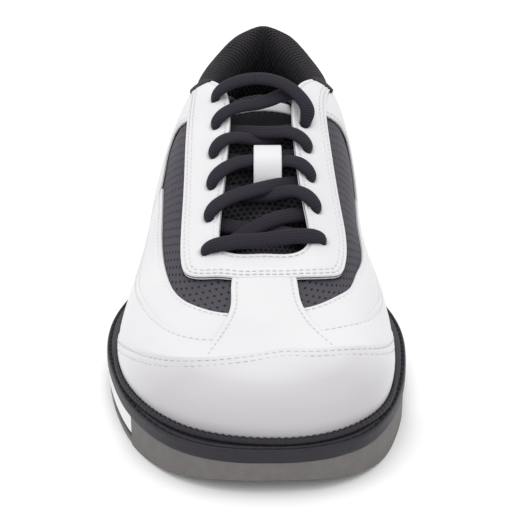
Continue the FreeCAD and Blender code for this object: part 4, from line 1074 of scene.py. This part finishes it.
def lace():
    """Flat oval lace through all twelve eyelets, with its plastic tips tucked inside."""
    line, run = lace_line(0.8)
    across, through = lace_frames(line)
    holes = eyelets()
    near = np.min(np.linalg.norm(line[:, None] - holes[None], axis=2), axis=1)
    pinch = np.exp(-(near / 3.4) ** 2)
    gathered = np.exp(-(np.linalg.norm(line - KEEPER_MIDDLE, axis=1) / 9) ** 2)
    wide = LACE_WIDTH / 2 * (1 - 0.3 * pinch - 0.22 * gathered)
    thick = LACE_THICKNESS / 2 * (1 + 0.1 * pinch)
    angles = np.linspace(0, 2 * math.pi, 18, endpoint=False)
    flat = [np.sign(turn) * np.abs(turn) ** 0.85 for turn in (np.cos(angles), np.sin(angles))]
    points = (line[:, None] + across[:, None] * (wide[:, None] * flat[0])[..., None]
              + through[:, None] * (thick[:, None] * flat[1])[..., None])
    uvs = np.stack(np.broadcast_arrays(run[:, None] * MM, angles[None] / (2 * math.pi)), -1)
    rows, cols = points.shape[:2]
    faces = [*grid_faces(rows, cols, ring_cols=True, flip=True), tuple(range(cols)),
             tuple(range((rows - 1) * cols, rows * cols))[::-1]]
    obj = new_object("lace_flat_braid", points.reshape(-1, 3), faces, M["lace"], uvs=uvs.reshape(-1, 2),
                     slot="black_lace")
    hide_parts("lace")


for make in (welt, welt_stitches, welt_bead, lasting_allowance, footbed_cover, toe_cap, vamp_center):
    make()
for sign in SIDES:
    side_panels(sign)
for make in (eyestay, back_of_heel, linings, collar, collar_binding, tongue, lace_keeper, lace):
    make()


# ---- studio
def floor():
    """Plain pale floor that runs off behind."""
    mesh = bpy.data.meshes.new("floor")
    size = 6.0
    corners = [(-size, -size, 0), (size, -size, 0), (size, size, 0), (-size, size, 0)]
    mesh.from_pydata(corners, [], [(0, 1, 2, 3)])
    mesh.materials.append(plain("floor_white", (0.93, 0.93, 0.935), 0.7, Specular_IOR_Level=0.2)[0])
    obj = add("floor", mesh)


def lamp(name, place, target, size, power):
    """Soft square light aimed at a point."""
    data = bpy.data.lights.new(name, "AREA")
    data.size = size
    data.energy = power
    obj = add(name, data)
    obj.location = place
    obj.rotation_euler = (Vector(target) - obj.location).to_track_quat("-Z", "Y").to_euler()


def camera():
    """Camera straight in front of the toe, a little above, looking down."""
    data = bpy.data.cameras.new("camera")
    data.lens = 70.3125
    data.sensor_width = 36.0
    obj = add("camera", data)
    obj.location = (0, -0.434, 0.190)
    obj.rotation_euler = (math.radians(69.6), 0, 0)
    bpy.context.scene.camera = obj


floor()
lamp("top", (-0.1, 0.05, 1.5), (0, -0.02, 0.05), 1.0, 7.0)
lamp("fill", (1.0, -0.7, 0.9), (0, -0.05, 0.05), 0.9, 0.3)
lamp("key", (-0.9, -0.6, 1.0), (0, -0.02, 0.05), 0.8, 0.8)
world = bpy.data.worlds.new("studio")
world.use_nodes = True
world.node_tree.nodes["Background"].inputs["Color"].default_value = (1, 1, 1, 1)
world.node_tree.nodes["Background"].inputs["Strength"].default_value = 1.0
bpy.context.scene.world = world
bpy.context.scene.view_settings.view_transform = "Standard"
camera()
